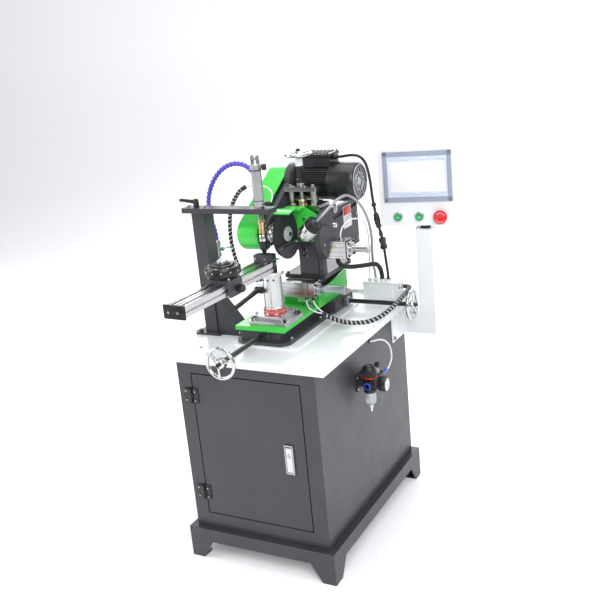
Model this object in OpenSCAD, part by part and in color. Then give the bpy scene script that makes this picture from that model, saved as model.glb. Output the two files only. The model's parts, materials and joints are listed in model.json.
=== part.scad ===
// Automatic wet grinding machine for circular saw blades, on a cabinet stand.
// The origin is on the floor under the middle of the cabinet. The door faces -Y and +Z is up.

/* [Cabinet] */
// Width of the cabinet
cab_w = 420; // [400:5:440]
// Depth of the cabinet
cab_d = 611; // [600:1:620]
// Height of the plinth's feet
foot_h = 54; // [45:1:60]
// Height of the plinth's rail
rail_h = 40; // [30:1:50]
// Height of the cabinet's shell
shell_h = 500; // [490:5:510]
// How far the plinth stands out from the cabinet
plinth_out = 19; // [10:1:25]
// Thickness of the sheet steel
sheet = 2.5; // [1.5:0.5:3]
// Gap round the door
door_gap = 3; // [2:0.5:4]

/* [Tray] */
// Height of the tray's lip above its floor
lip_h = 13; // [8:1:18]
// How far the tray's sloping wall stands out to the left
tray_slope = 60; // [40:5:70]

/* [Grinding head] */
// Diameter of the grinding wheel
wheel_d = 125; // [100:5:125]
// Thickness of the grinding wheel
wheel_t = 12; // [8:1:12]
// Diameter of the motor's finned body
motor_d = 104; // [96:2:110]
// Radius of the two belt pulleys
pulley_r = 26; // [20:1:30]
// Radius of the belt guard's round ends
guard_r = 46; // [44:1:48]

/* [Blade support] */
// Diameter of the arbor disc
disc_d = 93; // [80:1:100]
// Length of the guide rail
rail_len = 394; // [350:1:400]
// Angle at which the support stands on its scale ring
support_yaw = -3; // [-8:1:8]

/* [Controls] */
// Diameter of the two feed handwheels
handwheel_d = 90; // [80:5:100]
// Diameter of the lifting handwheel
lift_wheel_d = 80; // [70:5:80]
// Width of the control panel
panel_w = 228; // [220:2:240]
// Height of the control panel
panel_h = 236; // [220:2:240]
// Depth of the control panel
panel_t = 68; // [60:2:80]
// Angle at which the panel faces to the right
panel_yaw = 9; // [-15:1:15]

/* [Hidden] */
$fn = 48;

eps = 0.05;
run = 0.05;              // radial running clearance of a shaft in its bore
slide_gap = 0.1;         // clearance of a flat slide
cab_z = foot_h + rail_h; // underside of the cabinet
tray_z = cab_z + shell_h + 6;
tray_x0 = -286;
tray_x1 = 238;
tray_y0 = -310;
tray_y1 = 352;
tray_t = 6;
drain = [-125, 255];     // centre of the tray's drain

// Door and its hinges
door_x0 = -165;
door_x1 = 163;
door_z0 = 141;
door_z1 = 562;
door_t = 18;
front_y = -cab_d / 2;
hinge_x = -173;
hinge_y = front_y - 6;
hinge_z = [205, 499];
hinge_h = 42;
pin_r = 2.5;
latch = [115.5, 348];
latch_size = [26, 84];

// Bed, table and feed screws
pad_z = 604;
foot_z = 613;
bed_x0 = -92;
bed_x1 = 32;
bed_y0 = -150;
bed_y1 = 245;
bed_z = 645;
rear_x1 = 72;
rear_y0 = 120;
front_screw_x = -20;
front_screw_z = 631;
front_wheel_y = -372;
side_screw_y = 195;
side_screw_z = 626;
side_wheel_x = 284;
screw_r = 6;
shaft_r = 7;
table_x0 = -98;
table_x1 = 55;
table_y0 = -165;
table_y1 = 42;
table_z = 657;
trough_x0 = -60;
trough_y0 = 54;
trough_y1 = 250;
trough_t = 4;
nut_x = [-36, -4];       // nut of the table slide, in the slot of the bed
nut_y = [-75, -45];

// Blade support on its post
post = [-10, -90];
post_r = 27;
post_z0 = 692;
post_z1 = 787;
rail_off = -6;
rail_z = 799;
rail_w = 56;
rail_t = 28;
rail_y0 = -22;           // end of the rail at the anvil, from the post
carriage_y = -210;
carriage_len = 55;
disc_z = 849;

// Column, bar and clamp
column_x = -222;
column_y = -76;
column_w = 40;
column_dy = 50;
bar_z = 960;
bar_t = 14;
bar_x0 = -262;
bar_x1 = 20;
bar_y = -97;
clamp = [-20, -97];
lever_x = -224;

// Head
head_y = 66;             // guide posts and lifting screw
guide_x = [-9, 61];
guide_r = 9.5;
lift_x = 24;
pivot = [96, 931];       // Y and Z of the tilting axis
spindle = [-36, 888];    // Y and Z of the grinding spindle
motor = [150, 998];      // Y and Z of the motor
plate_x0 = -46;
plate_x1 = -28;
right_x0 = 90;
right_x1 = 107;
wheel_x = 10;            // left face of the grinding wheel
pulley_x0 = -92;
pulley_x1 = -70;
belt_t = 4;
stroke = [55, 828];      // Y and Z of the stroke cylinder
feed = [22, 715];        // Y and Z of the feed cylinder

// Panel, lamp and air unit
panel_pivot = [307, 281];
panel_z = 848;
post_sq = 48;
air = [246, -55];
lamp_top = [122, -46, 928];
lamp_tilt = 45;

// Cord routes, from one fitting to the other
coolant_route = [
    [-220, -24, 862], [-220, -24, 876], [-224, -23, 896], [-231, -21, 920], [-235, -20, 948],
    [-233, -20, 978], [-223, -20, 1008], [-206, -20, 1036], [-185, -20, 1058], [-162, -20, 1073],
    [-138, -20, 1080], [-114, -21, 1080], [-92, -25, 1074], [-73, -32, 1063],
    [-58, -41, 1048], [-48, -49, 1030], [-44, -54, 1012], [-44, -54, 998]
];
bundle_left_route = [
    [-117, -2, 1012], [-138, 2, 1000], [-158, 6, 980], [-174, 10, 958], [-186, 13, 932],
    [-193, 15, 904], [-196, 16, 874], [-196, 16, 844], [-192, 16, 814], [-185, 14, 788],
    [-174, 8, 766], [-158, 2, 750], [-140, 0, 740], [-124, 3, 736], [-113, 14, 735],
    [-108, 30, 732], [-108, 48, 722], [-111, 66, 706], [-115, 82, 686], [-120, 95, 664],
    [-126, 105, 642], [-130, 112, 622], [-130, 112, 606]
];
bundle_right_route = [
    [98, -8, 652], [112, 0, 640], [128, 10, 630], [146, 20, 622], [166, 28, 618],
    [186, 36, 617], [206, 46, 618], [224, 60, 622], [238, 80, 628], [248, 104, 635],
    [255, 130, 642], [260, 158, 649], [262, 186, 654], [261, 214, 657], [257, 242, 657],
    [250, 268, 654], [240, 290, 649], [226, 303, 646], [223, 304, 645], [212, 304, 645]
];
motor_cable_route = [
    [103, 150, 1068], [115, 150, 1068], [131, 151, 1070], [148, 153, 1071], [163, 157, 1068],
    [174, 163, 1058], [180, 170, 1042], [182, 178, 1020], [181, 188, 996], [178, 200, 970],
    [174, 213, 944], [171, 226, 916], [170, 238, 886], [170, 249, 856], [172, 260, 824],
    [173, 270, 792], [173, 279, 760], [172, 288, 728], [170, 298, 702], [168, 306, 682],
    [168, 306, 666]
];
power_hose_route = [
    [98, 112, 784], [98, 112, 773], [101, 119, 761], [108, 132, 752], [116, 149, 746],
    [124, 167, 742], [131, 185, 739], [137, 203, 736], [142, 221, 733], [146, 239, 730],
    [148, 256, 726], [149, 270, 720], [149, 283, 711], [149, 294, 700], [148, 302, 688],
    [148, 306, 676], [148, 306, 666]
];
gooseneck_route = [
    [122, -46, 928], [131, -46, 937], [140, -43, 946], [148, -36, 955], [154, -26, 963],
    [159, -12, 970], [163, 6, 976], [167, 25, 979], [171, 46, 979], [177, 68, 969],
    [182, 90, 953], [185, 112, 932], [185, 134, 907], [183, 155, 880], [178, 176, 852],
    [170, 198, 824], [160, 220, 795], [149, 242, 765], [139, 264, 737], [131, 284, 713],
    [127, 299, 696], [126, 306, 681], [126, 306, 668]
];
regulator_tube_route = [
    [204, 42, 561], [214, 42, 561], [222, 50, 561], [229, 62, 560], [235, 76, 555],
    [240, 88, 546], [244, 98, 533], [246, 104, 518], [247, 106, 502], [247, 102, 487],
    [246, 92, 476], [246, 78, 470], [246, 64, 470]
];
clamp_tube_route = [
    [6, -97, 986], [6, -86, 986], [5, -74, 989], [0, -60, 996], [-8, -46, 1006],
    [-22, -36, 1014], [-40, -28, 1018], [-60, -20, 1019], [-80, -12, 1018], [-98, -6, 1015],
    [-114, -2, 1013]
];
feed_tube_a_route = [
    [40, 6, 685], [40, 6, 679], [44, 1, 672], [54, -8, 665], [68, -12, 660], [82, -12, 656],
    [95, -11, 654]
];
feed_tube_b_route = [
    [62, 6, 686], [62, 6, 681], [67, 4, 674], [76, 0, 667], [87, -4, 660], [98, -5, 654]
];
stroke_tube_route = [
    [140, 54, 856], [140, 54, 868], [143, 60, 883], [149, 73, 895], [157, 92, 901],
    [165, 116, 898], [169, 142, 885], [168, 168, 862], [162, 192, 836], [152, 216, 806],
    [141, 240, 774], [129, 264, 740], [117, 286, 708], [108, 301, 684], [106, 306, 674], [106, 306, 664]
];

// ---------- helpers ----------

function unit(v) = v / norm(v);

// A block between two corners
module block(lo, hi) {
    translate(lo) cube(hi - lo);
}

// Rods along each axis, from one end to the other
module rod_x(x0, x1, yz, r) {
    translate([x0, yz[0], yz[1]]) rotate([0, 90, 0]) cylinder(r = r, h = x1 - x0);
}

module rod_y(y0, y1, xz, r) {
    translate([xz[0], y0, xz[1]]) rotate([-90, 0, 0]) cylinder(r = r, h = y1 - y0);
}

module rod_z(z0, z1, xy, r) {
    translate([xy[0], xy[1], z0]) cylinder(r = r, h = z1 - z0);
}

// A plate with round corners, lying flat
module round_plate(lo, hi, r) {
    translate([0, 0, lo[2]]) linear_extrude(hi[2] - lo[2]) union() {
        translate([lo[0] + r, lo[1]]) square([hi[0] - lo[0] - 2 * r, hi[1] - lo[1]]);
        translate([lo[0], lo[1] + r]) square([hi[0] - lo[0], hi[1] - lo[1] - 2 * r]);
        for (x = [lo[0] + r, hi[0] - r], y = [lo[1] + r, hi[1] - r]) translate([x, y]) circle(r);
    }
}

// A profile drawn in Y and Z, extruded along X
module along_x(x0, x1) {
    translate([x0, 0, 0]) rotate([90, 0, 90]) linear_extrude(x1 - x0) children();
}

// Outline with two round ends of one radius, drawn in the plane
module slot_shape(a, b, r) {
    dir = b - a;
    angle = atan2(dir[1], dir[0]);
    translate(a) circle(r);
    translate(b) circle(r);
    translate(a) rotate(angle) translate([0, -r]) square([norm(dir), 2 * r]);
}

// Socket head screw, its head at the origin and its shank down
module screw(d, shank) {
    cylinder(d = 1.6 * d, h = d);
    translate([0, 0, -shank]) cylinder(d = d, h = shank + eps);
}

// Round tube swept along a route: one ring of points on each point of the route
module tube(route, d, sides = 8) {
    n = len(route);
    heading = [for (i = [0:n - 1]) unit(route[min(i + 1, n - 1)] - route[max(i - 1, 0)])];
    side = [for (t = heading) unit(cross(t, abs(t[1]) < 0.9 ? [0, 1, 0] : [1, 0, 0]))];
    points = [for (i = [0:n - 1], k = [0:sides - 1])
        let (up = cross(heading[i], side[i]), a = 360 * k / sides)
        route[i] + d / 2 * (cos(a) * side[i] + sin(a) * up)];
    walls = [for (i = [0:n - 2], k = [0:sides - 1])
        let (j = (k + 1) % sides)
        each [[i * sides + k, (i + 1) * sides + k, (i + 1) * sides + j],
              [i * sides + k, (i + 1) * sides + j, i * sides + j]]];
    first = [for (k = [0:sides - 1]) k];
    last = [for (k = [0:sides - 1]) (n - 1) * sides + sides - 1 - k];
    polyhedron(points, concat(walls, [first, last]));
}

// Handwheel with three spokes about Z, its hub face up
module handwheel(d, hub_r, bore_r) {
    rim_r = 5;
    rotate_extrude() translate([d / 2 - rim_r, 0]) circle(rim_r);
    difference() {
        union() {
            translate([0, 0, -9]) cylinder(r = hub_r, h = 18);
            for (k = [0:2]) rotate(k * 120 + 90) translate([0, -5, -3]) cube([d / 2 - rim_r - 1, 10, 6]);
        }
        translate([0, 0, -10]) cylinder(r = bore_r, h = 15);
    }
}

// Clamping lever: the hub along Z and the arm along X
module lever(hub_r, hub_h, arm, drop) {
    cylinder(r = hub_r, h = hub_h);
    translate([0, 0, hub_h * 0.7]) rotate([0, 90 + drop, 0]) cylinder(r1 = 6, r2 = 4, h = arm);
}

// ---------- cabinet and tray ----------

module cabinet_shell() color([0.28, 0.28, 0.32]) {
    hx = cab_w / 2;
    hy = cab_d / 2;
    top = cab_z + shell_h;
    difference() {
        block([-hx, -hy, cab_z], [hx, hy, top]);
        block([-hx + sheet, -hy + sheet, cab_z + sheet], [hx - sheet, hy - sheet, top - sheet]);
        block([door_x0 - door_gap, -hy - 1, door_z0 - door_gap],
              [door_x1 + door_gap, -hy + sheet + 1, door_z1 + door_gap]);
        rod_z(top - 2 * sheet, top + 1, drain, 24);
        rod_x(hx - 2 * sheet, hx + 1, [42, 561], 5);
        rod_y(hy - 2 * sheet, hy + 1, [-120, 180], 10);
    }
}

module foot_plate(w, low) {
    linear_extrude(4) polygon([[0, 0], [low, 0], [w, foot_h + 1], [0, foot_h + 1]]);
}

module plinth() color([0.27, 0.27, 0.31]) {
    hx = cab_w / 2 + plinth_out;
    hy = cab_d / 2 + plinth_out;
    difference() {
        block([-hx, -hy, foot_h], [hx, hy, cab_z]);
        block([-hx + 4, -hy + 4, foot_h - 1], [hx - 4, hy - 4, cab_z - 4]);
        block([-hx + 50, -hy + 50, foot_h], [hx - 50, hy - 50, cab_z + 1]);
    }
    for (sx = [0, 1], sy = [0, 1]) mirror([sx, 0, 0]) mirror([0, sy, 0]) {
        translate([-hx, -hy + 4, 0]) rotate([90, 0, 0]) foot_plate(74, 40);
        translate([-hx, -hy, 0]) rotate([90, 0, 90]) foot_plate(74, 40);
        block([-hx, -hy, 0], [-hx + 40, -hy + 40, 3]);
    }
}

module drip_tray() color([0.95, 0.96, 0.97]) {
    hole_r = 14;
    lip_z = tray_z + lip_h;
    slope_x = tray_x0 - tray_slope;
    difference() {
        union() {
            block([tray_x0, tray_y0, tray_z - tray_t], [tray_x1, tray_y1, tray_z]);
            block([tray_x0, tray_y0, tray_z - 1], [tray_x1, tray_y0 + 3, lip_z]);
            block([tray_x0, tray_y1 - 3, tray_z - 1], [tray_x1, tray_y1, lip_z]);
            block([tray_x1 - 3, tray_y0, tray_z - 1], [tray_x1, tray_y1, lip_z]);
            translate([0, tray_y1, 0]) rotate([90, 0, 0]) linear_extrude(tray_y1 - tray_y0) polygon([
                [tray_x0 + 1, tray_z - tray_t], [tray_x0 + 1, tray_z],
                [slope_x, lip_z], [slope_x, lip_z - tray_t]
            ]);
            for (y = [tray_y0 + 3, tray_y1])
                translate([0, y, 0]) rotate([90, 0, 0]) linear_extrude(3) polygon([
                [slope_x, lip_z - 3], [tray_x0 + 1, tray_z - 3], [tray_x0 + 1, lip_z], [slope_x, lip_z]
            ]);
            round_plate([-118, -172, tray_z - 1], [92, 262, pad_z], 30);
        }
        rod_z(tray_z - tray_t - 1, tray_z + 20, drain, hole_r);
    }
    for (a = [0, 60, 120]) translate([drain[0], drain[1], tray_z - 4]) rotate(a)
        translate([-hole_r - 2, -1.5, 0]) cube([2 * hole_r + 4, 3, 3]);
    color([0.08, 0.08, 0.09]) rod_z(tray_z - 1, tray_z + 6, [-130, 112], 9);
}

module hinge_pair(left, knuckle_z) {
    side = left ? -1 : 1;
    for (z = hinge_z) translate([hinge_x, 0, z]) {
        difference() {
            union() {
                block([left ? -22 : 5.5, front_y - 3, -hinge_h / 2],
                      [left ? -5.5 : 22, front_y, hinge_h / 2]);
                for (k = knuckle_z) {
                    translate([0, hinge_y, k]) cylinder(r = 5, h = hinge_h / 3 - 0.4);
                    block([min(0, side * 8), hinge_y, k],
                          [max(0, side * 8), front_y - eps, k + hinge_h / 3 - 0.4]);
                }
            }
            translate([0, hinge_y, -hinge_h]) cylinder(r = pin_r + run, h = 2 * hinge_h);
        }
        for (zz = [-13, 13])
            translate([side * 14, front_y - 2.9, zz]) rotate([90, 0, 0]) cylinder(r = 3, h = 2);
    }
}

module hinge_leaves() color([0.06, 0.06, 0.07]) {
    hinge_pair(true, [-hinge_h / 2 + 0.2, hinge_h / 6 + 0.2]);
    for (z = hinge_z) rod_z(z - hinge_h / 2 - 1, z + hinge_h / 2 + 1, [hinge_x, hinge_y], pin_r);
}

module door_hinges() color([0.06, 0.06, 0.07]) {
    hinge_pair(false, [-hinge_h / 6 + 0.2]);
}

module door_panel() color([0.26, 0.26, 0.30]) {
    difference() {
        block([door_x0, front_y, door_z0], [door_x1, front_y + door_t, door_z1]);
        block([door_x0 + sheet, front_y + sheet, door_z0 + sheet],
              [door_x1 - sheet, front_y + door_t + 1, door_z1 - sheet]);
        block([latch[0] - 11, front_y - 1, latch[1] - 40],
              [latch[0] + 11, front_y + sheet + 1, latch[1] + 40]);
    }
    color([0.75, 0.76, 0.78]) difference() {
        block([latch[0] - latch_size[0] / 2, front_y - 4, latch[1] - latch_size[1] / 2],
              [latch[0] + latch_size[0] / 2, front_y, latch[1] + latch_size[1] / 2]);
        block([latch[0] - 10, front_y - 5, latch[1] - 38], [latch[0] + 10, front_y + 1, latch[1] + 38]);
    }
}

module latch_paddle() color([0.80, 0.81, 0.83]) {
    block([latch[0] - 9.5, front_y - 3, latch[1] - 37], [latch[0] + 9.5, front_y + 1, latch[1] + 35]);
    rod_x(latch[0] - 9.5, latch[0] + 9.5, [front_y + 3, latch[1] + 32], 3);
    block([latch[0] - 4, front_y, latch[1] + 29], [latch[0] + 4, front_y + 24, latch[1] + 35]);
}

// ---------- inside the cabinet ----------

module coolant_tank() color([0.55, 0.57, 0.60]) {
    difference() {
        block([-185, -60, cab_z + sheet], [185, 285, 250]);
        block([-182, -57, cab_z + sheet + 3], [182, 282, 251]);
    }
    difference() {
        block([-60, -57, 244], [60, 60, 247]);
        rod_z(240, 250, [0, 0], 22);
    }
}

module coolant_pump() color([0.12, 0.25, 0.45]) {
    rod_z(247, 255, [0, 0], 50);
    rod_z(255, 350, [0, 0], 42);
    rod_z(350, 372, [0, 0], 44);
    rod_z(130, 247, [0, 0], 18);
    rod_z(112, 130, [0, 0], 34);
    block([42, -14, 290], [62, 14, 330]);
}

module control_gear() color([0.85, 0.86, 0.88]) {
    wall = -cab_w / 2 + sheet;
    block([wall, -240, 300], [wall + 4, -40, 540]);
    for (k = [0:3]) block([wall + 4, -232 + k * 48, 470], [wall + 60, -192 + k * 48, 530]);
    for (k = [0:5]) block([wall + 4, -232 + k * 30, 400], [wall + 44, -208 + k * 30, 440]);
    block([wall + 4, -230, 320], [wall + 34, -60, 360]);
    back = cab_d / 2;
    color([0.08, 0.08, 0.09]) difference() {
        union() {
            rod_y(back - sheet - 6, back, [-120, 180], 10 - eps);
            rod_y(back, back + 6, [-120, 180], 15);
            rod_y(back + 6, back + 22, [-120, 180], 11);
        }
        rod_y(back - 20, back + 30, [-120, 180], 5);
    }
}

// ---------- bed, column and clamp ----------

module bed() color([0.22, 0.22, 0.26]) {
    difference() {
        union() {
            round_plate([-108, -165, pad_z], [60, bed_y1 + 12, foot_z], 30);
            block([bed_x0, bed_y0, foot_z - 1], [bed_x1, rear_y0 + 1, bed_z]);
            block([bed_x0, rear_y0, foot_z - 1], [rear_x1, bed_y1, bed_z]);
        }
        block([nut_x[0] - 2, -130, foot_z + 2], [nut_x[1] + 2, 10, bed_z + 1]);
        rod_y(bed_y0 - 1, 20, [front_screw_x, front_screw_z], screw_r + run);
        block([-60, 170, foot_z + 2], [40, 220, bed_z + 1]);
        rod_x(-75, rear_x1 + 1, [side_screw_y, side_screw_z], screw_r + run);
    }
    difference() {
        rod_y(bed_y0 - 10, bed_y0, [front_screw_x, front_screw_z], 12);
        rod_y(bed_y0 - 11, bed_y0 + 1, [front_screw_x, front_screw_z], screw_r + run);
    }
    difference() {
        rod_x(rear_x1, rear_x1 + 10, [side_screw_y, side_screw_z], 12);
        rod_x(rear_x1 - 1, rear_x1 + 11, [side_screw_y, side_screw_z], screw_r + run);
    }
}

module column() color([0.30, 0.30, 0.34]) {
    x0 = column_x - column_w / 2;
    x1 = column_x + column_w / 2;
    y0 = column_y - column_dy / 2;
    y1 = column_y + column_dy / 2;
    base = tray_z + 6;
    difference() {
        union() {
            block([x0, y0, base - 1], [x1, y1, bar_z]);
            block([x0 - 26, y0 - 14, tray_z], [x1 + 14, y1 + 14, base]);
        }
        block([x0 + 4, y0 + 4, base], [x1 - 4, y1 - 4, bar_z - 8]);
    }
    translate([0, column_y + 21, 0]) rotate([90, 0, 0]) linear_extrude(42) polygon([
        [x1 - 1, base - 1], [x1 + 84, base - 1], [x1 + 84, base + 8], [x1, base + 118], [x1 - 1, base + 118]
    ]);
    block([x1, y0, tray_z], [x1 + 84, y1, base]);
    for (x = [x0 - 14], y = [y0 - 4, y1 + 4]) translate([x, y, base]) screw(8, 5);
}

module top_bar() color([0.30, 0.30, 0.34]) {
    difference() {
        union() {
            block([bar_x0, bar_y - 20, bar_z], [bar_x1, bar_y + 20, bar_z + bar_t]);
        }
        rod_z(bar_z - 1, bar_z + bar_t + 1, clamp, 5 + 2 * run);
        rod_z(bar_z + 4, bar_z + bar_t + 1, [lever_x, bar_y], 5 + run);
    }
}

module bar_lever() color([0.07, 0.07, 0.08]) {
    translate([lever_x, bar_y, bar_z + bar_t + slide_gap]) rotate(188) lever(8, 24, 50, -4);
    rod_z(bar_z + 4.2, bar_z + bar_t + 2, [lever_x, bar_y], 5);
}

module clamp_cylinder() color([0.82, 0.83, 0.85]) {
    low = bar_z + bar_t;
    difference() {
        union() {
            rod_z(low, low + 6, clamp, 12);
            rod_z(low + 6, low + 18, clamp, 16);
            rod_z(low + 18, 1076, clamp, 14);
            rod_z(1076, 1092, clamp, 15.5);
            for (s = [-1, 1]) translate([clamp[0] + s * 8, clamp[1], 1104]) cube([4, 16, 26], center = true);
            rod_x(clamp[0] + 12, clamp[0] + 22, [clamp[1], 1084], 4);
            rod_x(clamp[0] + 12, clamp[0] + 20, [clamp[1], low + 12], 4);
        }
        rod_z(low - 1, low + 16, clamp, 5 + 2 * run);
        rod_z(low + 15, 1078, clamp, 11);
    }
    color([0.10, 0.10, 0.11]) {
        rod_z(1072, 1098, [clamp[0] + 27, clamp[1]], 6);
        rod_y(clamp[1] - 14, clamp[1], [clamp[0] + 26, low + 12], 6);
    }
}

module clamp_rod() color([0.72, 0.73, 0.75]) {
    rod_z(900, 1046, clamp, 5);
    rod_z(1040, 1050, clamp, 11 - 3 * run);
    color([0.75, 0.70, 0.48]) difference() {
        rod_z(903, 938, clamp, 11);
        rod_z(902, 939, clamp, 5);
    }
    rod_z(880, 900, clamp, 9);
    color([0.10, 0.12, 0.11]) {
        rod_z(858, 880, clamp, 10.5);
        translate([clamp[0], clamp[1], 848]) cylinder(r1 = 4, r2 = 8, h = 10);
    }
}

// ---------- coolant and air ----------

module coolant_valve() color([0.60, 0.62, 0.64]) {
    x = column_x + 2;
    y = column_y + column_dy / 2 + 27;
    rod_z(tray_z, 815, [x, y], 6);
    rod_z(815, 855, [x, y], 9);
    rod_z(855, 862, [x, y], 11);
    rod_z(tray_z, tray_z + 5, [x, y], 12);
    block([x - 10, y - 27, 790], [x + 10, y - 4, 794]);
    rod_x(x, x + 14, [y, 835], 5);
}

module valve_lever() color([0.15, 0.55, 0.20]) {
    x = column_x + 16.2;
    y = column_y + column_dy / 2 + 27;
    rod_x(x, x + 6, [y, 835], 6);
    block([x + 2, y - 5, 830], [x + 5, y + 26, 840]);
    block([x + 2, y + 22, 826], [x + 18, y + 26, 842]);
}

module coolant_hose() color([0.25, 0.20, 0.80]) tube(coolant_route, 15, 10);

module coolant_nozzle() color([0.25, 0.20, 0.80]) {
    translate([-44, -54, 978]) cylinder(r1 = 3.5, r2 = 7, h = 14);
    rod_z(991, 998, [-44, -54], 8.5);
}

module air_bundles() color([0.08, 0.08, 0.09]) {
    tube(bundle_left_route, 12, 10);
    tube(bundle_right_route, 13, 10);
}

module air_tubes() color([0.90, 0.91, 0.93]) {
    tube(clamp_tube_route, 4);
    tube(feed_tube_a_route, 4);
    tube(feed_tube_b_route, 4);
    tube(stroke_tube_route, 4);
    tube(regulator_tube_route, 5);
}

module head_cables() color([0.07, 0.07, 0.08]) {
    tube(motor_cable_route, 8);
    tube(power_hose_route, 14, 10);
}

module lamp_gooseneck() color([0.70, 0.71, 0.72]) tube(gooseneck_route, 8);

module work_lamp() color([0.78, 0.78, 0.78]) translate(lamp_top) rotate([0, lamp_tilt, 0]) {
    difference() {
        translate([0, 0, -58]) cylinder(r = 23, h = 32);
        translate([0, 0, -59]) cylinder(r = 19, h = 6);
    }
    color([0.06, 0.06, 0.07]) {
        translate([0, 0, -26]) cylinder(r = 23.5, h = 21);
        translate([0, 0, -5]) cylinder(r1 = 12, r2 = 5, h = 5);
    }
}

module junction_box() color([0.94, 0.95, 0.96]) {
    x0 = 88;
    x1 = 200;
    y0 = 292;
    y1 = 348;
    top = tray_z + 56;
    difference() {
        block([x0, y0, tray_z], [x1, y1, top]);
        block([x0 + 3, y0 + 3, tray_z + 3], [x1 - 3, y1 - 3, top - 3]);
    }
    color([0.70, 0.71, 0.73]) {
        rod_z(top, top + 12, [126, 306], 8);
        rod_z(top, top + 8, [106, 306], 6);
        rod_x(x1, x1 + 12, [304, 645], 8);
    }
    color([0.08, 0.08, 0.09]) for (x = [148, 168]) rod_z(top, top + 10, [x, 306], 9.5);
}

module air_regulator() color([0.08, 0.08, 0.09]) {
    wall = cab_w / 2;
    x = air[0];
    y = air[1];
    block([wall, y - 14, 452], [wall + 4, y + 70, 496]);
    block([wall + 4, y - 10, 468], [x - 18, y + 10, 488]);
    difference() {
        block([x - 19, y - 19, 456], [x + 19, y + 19, 494]);
        rod_y(y - 20, y - 7, [x, 474], 6.6);
    }
    rod_z(494, 498, air, 16);
    block([x - 12, y + 19, 462], [x + 12, y + 74, 486]);
    rod_z(486, 506, [x, y + 56], 6);
    rod_z(506, 516, [x, y + 56], 7.5);
    rod_x(x + 8, x + 36, [y + 36, 462], 21);
    rod_y(y + 74, y + 119, [x, 470], 5);
    color([0.9, 0.9, 0.9]) rod_x(x + 36, x + 37, [y + 36, 462], 18);
    color([0.85, 0.87, 0.88]) {
        rod_z(412, 456, air, 15);
        rod_z(392, 412, air, 4);
        rod_z(424, 462, [x, y + 60], 9);
    }
}

module regulator_knob() color([0.06, 0.06, 0.07]) {
    rod_z(498.2, 516, air, 20);
    translate([air[0], air[1], 516]) cylinder(r1 = 20, r2 = 14, h = 12);
}

// ---------- control panel ----------

module panel_frame() {
    translate([panel_pivot[0], panel_pivot[1], panel_z]) rotate(panel_yaw) children();
}

module panel_post() color([0.94, 0.95, 0.96]) {
    half = post_sq / 2;
    wall = cab_w / 2;
    y0 = panel_pivot[1] - half;
    difference() {
        union() {
            block([panel_pivot[0] - half, y0, 515], [panel_pivot[0] + half, y0 + post_sq, panel_z - 12]);
            block([wall + 4, y0, 515], [panel_pivot[0] - half + 1, y0 + post_sq, 585]);
        }
        block([panel_pivot[0] - half + 3, y0 + 3, 520],
              [panel_pivot[0] + half - 3, y0 + post_sq - 3, panel_z - 16]);
    }
    block([wall, 204, 497], [wall + 4, 305, 592]);
    rod_z(panel_z - 12, panel_z - 2, panel_pivot, 14);
    rod_z(panel_z - 2, panel_z + 14, panel_pivot, 10);
    for (z = [508, 580]) rod_x(wall + 4, wall + 9, [216, z], 5);
}

module panel_box() color([0.94, 0.95, 0.97]) panel_frame() {
    y0 = -26;
    hmi_z = 72;
    difference() {
        block([-panel_w / 2 - 12, y0, 0], [panel_w / 2 - 12, y0 + panel_t, panel_h]);
        block([-panel_w / 2 - 9, y0 + 3, 3], [panel_w / 2 - 15, y0 + panel_t - 3, panel_h - 3]);
        translate([0, 0, -1]) cylinder(r = 10 + run, h = 6);
        for (k = [0:2]) rod_y(y0 - 1, y0 + 5, [-74 + 62 * k, 26], 9 + run);
    }
    difference() {
        translate([0, 0, 3 - eps]) cylinder(r = 14, h = 14);
        translate([0, 0, -1]) cylinder(r = 10 + run, h = 19);
    }
    color([0.55, 0.60, 0.68]) difference() {
        block([-109, y0 - 5, hmi_z], [85, y0, hmi_z + 142]);
        block([-98, y0 - 6, hmi_z + 12], [74, y0 - 3, hmi_z + 130]);
    }
    color([0.93, 0.96, 0.98]) block([-98, y0 - 3, hmi_z + 12], [74, y0 - 2.5, hmi_z + 130]);
}

module push_button(k, r, cap) panel_frame() {
    y0 = -29.5;
    centre = [-74 + 62 * k, 26];
    rod_y(y0, y0 + 19, centre, 9);
    rod_y(y0 - cap, y0, centre, r);
}

module start_button() color([0.05, 0.70, 0.38]) push_button(0, 11, 5);

module cycle_button() color([0.05, 0.70, 0.38]) push_button(1, 11, 5);

module emergency_stop() color([0.90, 0.12, 0.12]) push_button(2, 20, 14);

// ---------- handwheels ----------

module front_handwheel() color([0.78, 0.79, 0.81]) {
    centre = [front_screw_x, front_wheel_y, front_screw_z];
    translate(centre) rotate([90, 0, 0]) handwheel(handwheel_d, 16, shaft_r);
    color([0.07, 0.07, 0.08]) {
        rod_y(front_wheel_y - 5, bed_y0 - 12, [front_screw_x, front_screw_z], shaft_r);
        rod_y(bed_y0 - 12, 15, [front_screw_x, front_screw_z], screw_r);
        translate(centre + [0, -8.9, 0]) rotate([90, 0, 0]) cylinder(r = 6, h = 3);
    }
}

module side_handwheel() color([0.78, 0.79, 0.81]) {
    centre = [side_wheel_x, side_screw_y, side_screw_z];
    translate(centre) rotate([0, 90, 0]) handwheel(handwheel_d, 16, shaft_r);
    color([0.07, 0.07, 0.08]) {
        rod_x(rear_x1 + 12, side_wheel_x + 5, [side_screw_y, side_screw_z], shaft_r);
        rod_x(-70, rear_x1 + 12, [side_screw_y, side_screw_z], screw_r);
        translate(centre + [8.9, 0, 0]) rotate([0, 90, 0]) cylinder(r = 6, h = 3);
    }
}

module top_handwheel() color([0.78, 0.79, 0.81]) {
    centre = [lift_x, head_y];
    translate([centre[0], centre[1], 1090]) rotate(20) handwheel(lift_wheel_d, 14, shaft_r);
    color([0.07, 0.07, 0.08]) {
        rod_z(905, 1000.1, centre, screw_r);
        rod_z(1000.1, 1085.2, centre, shaft_r);
        rod_z(1000.1, 1010, centre, 13);
        rod_z(1014, 1024, centre, 11);
    }
}

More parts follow.
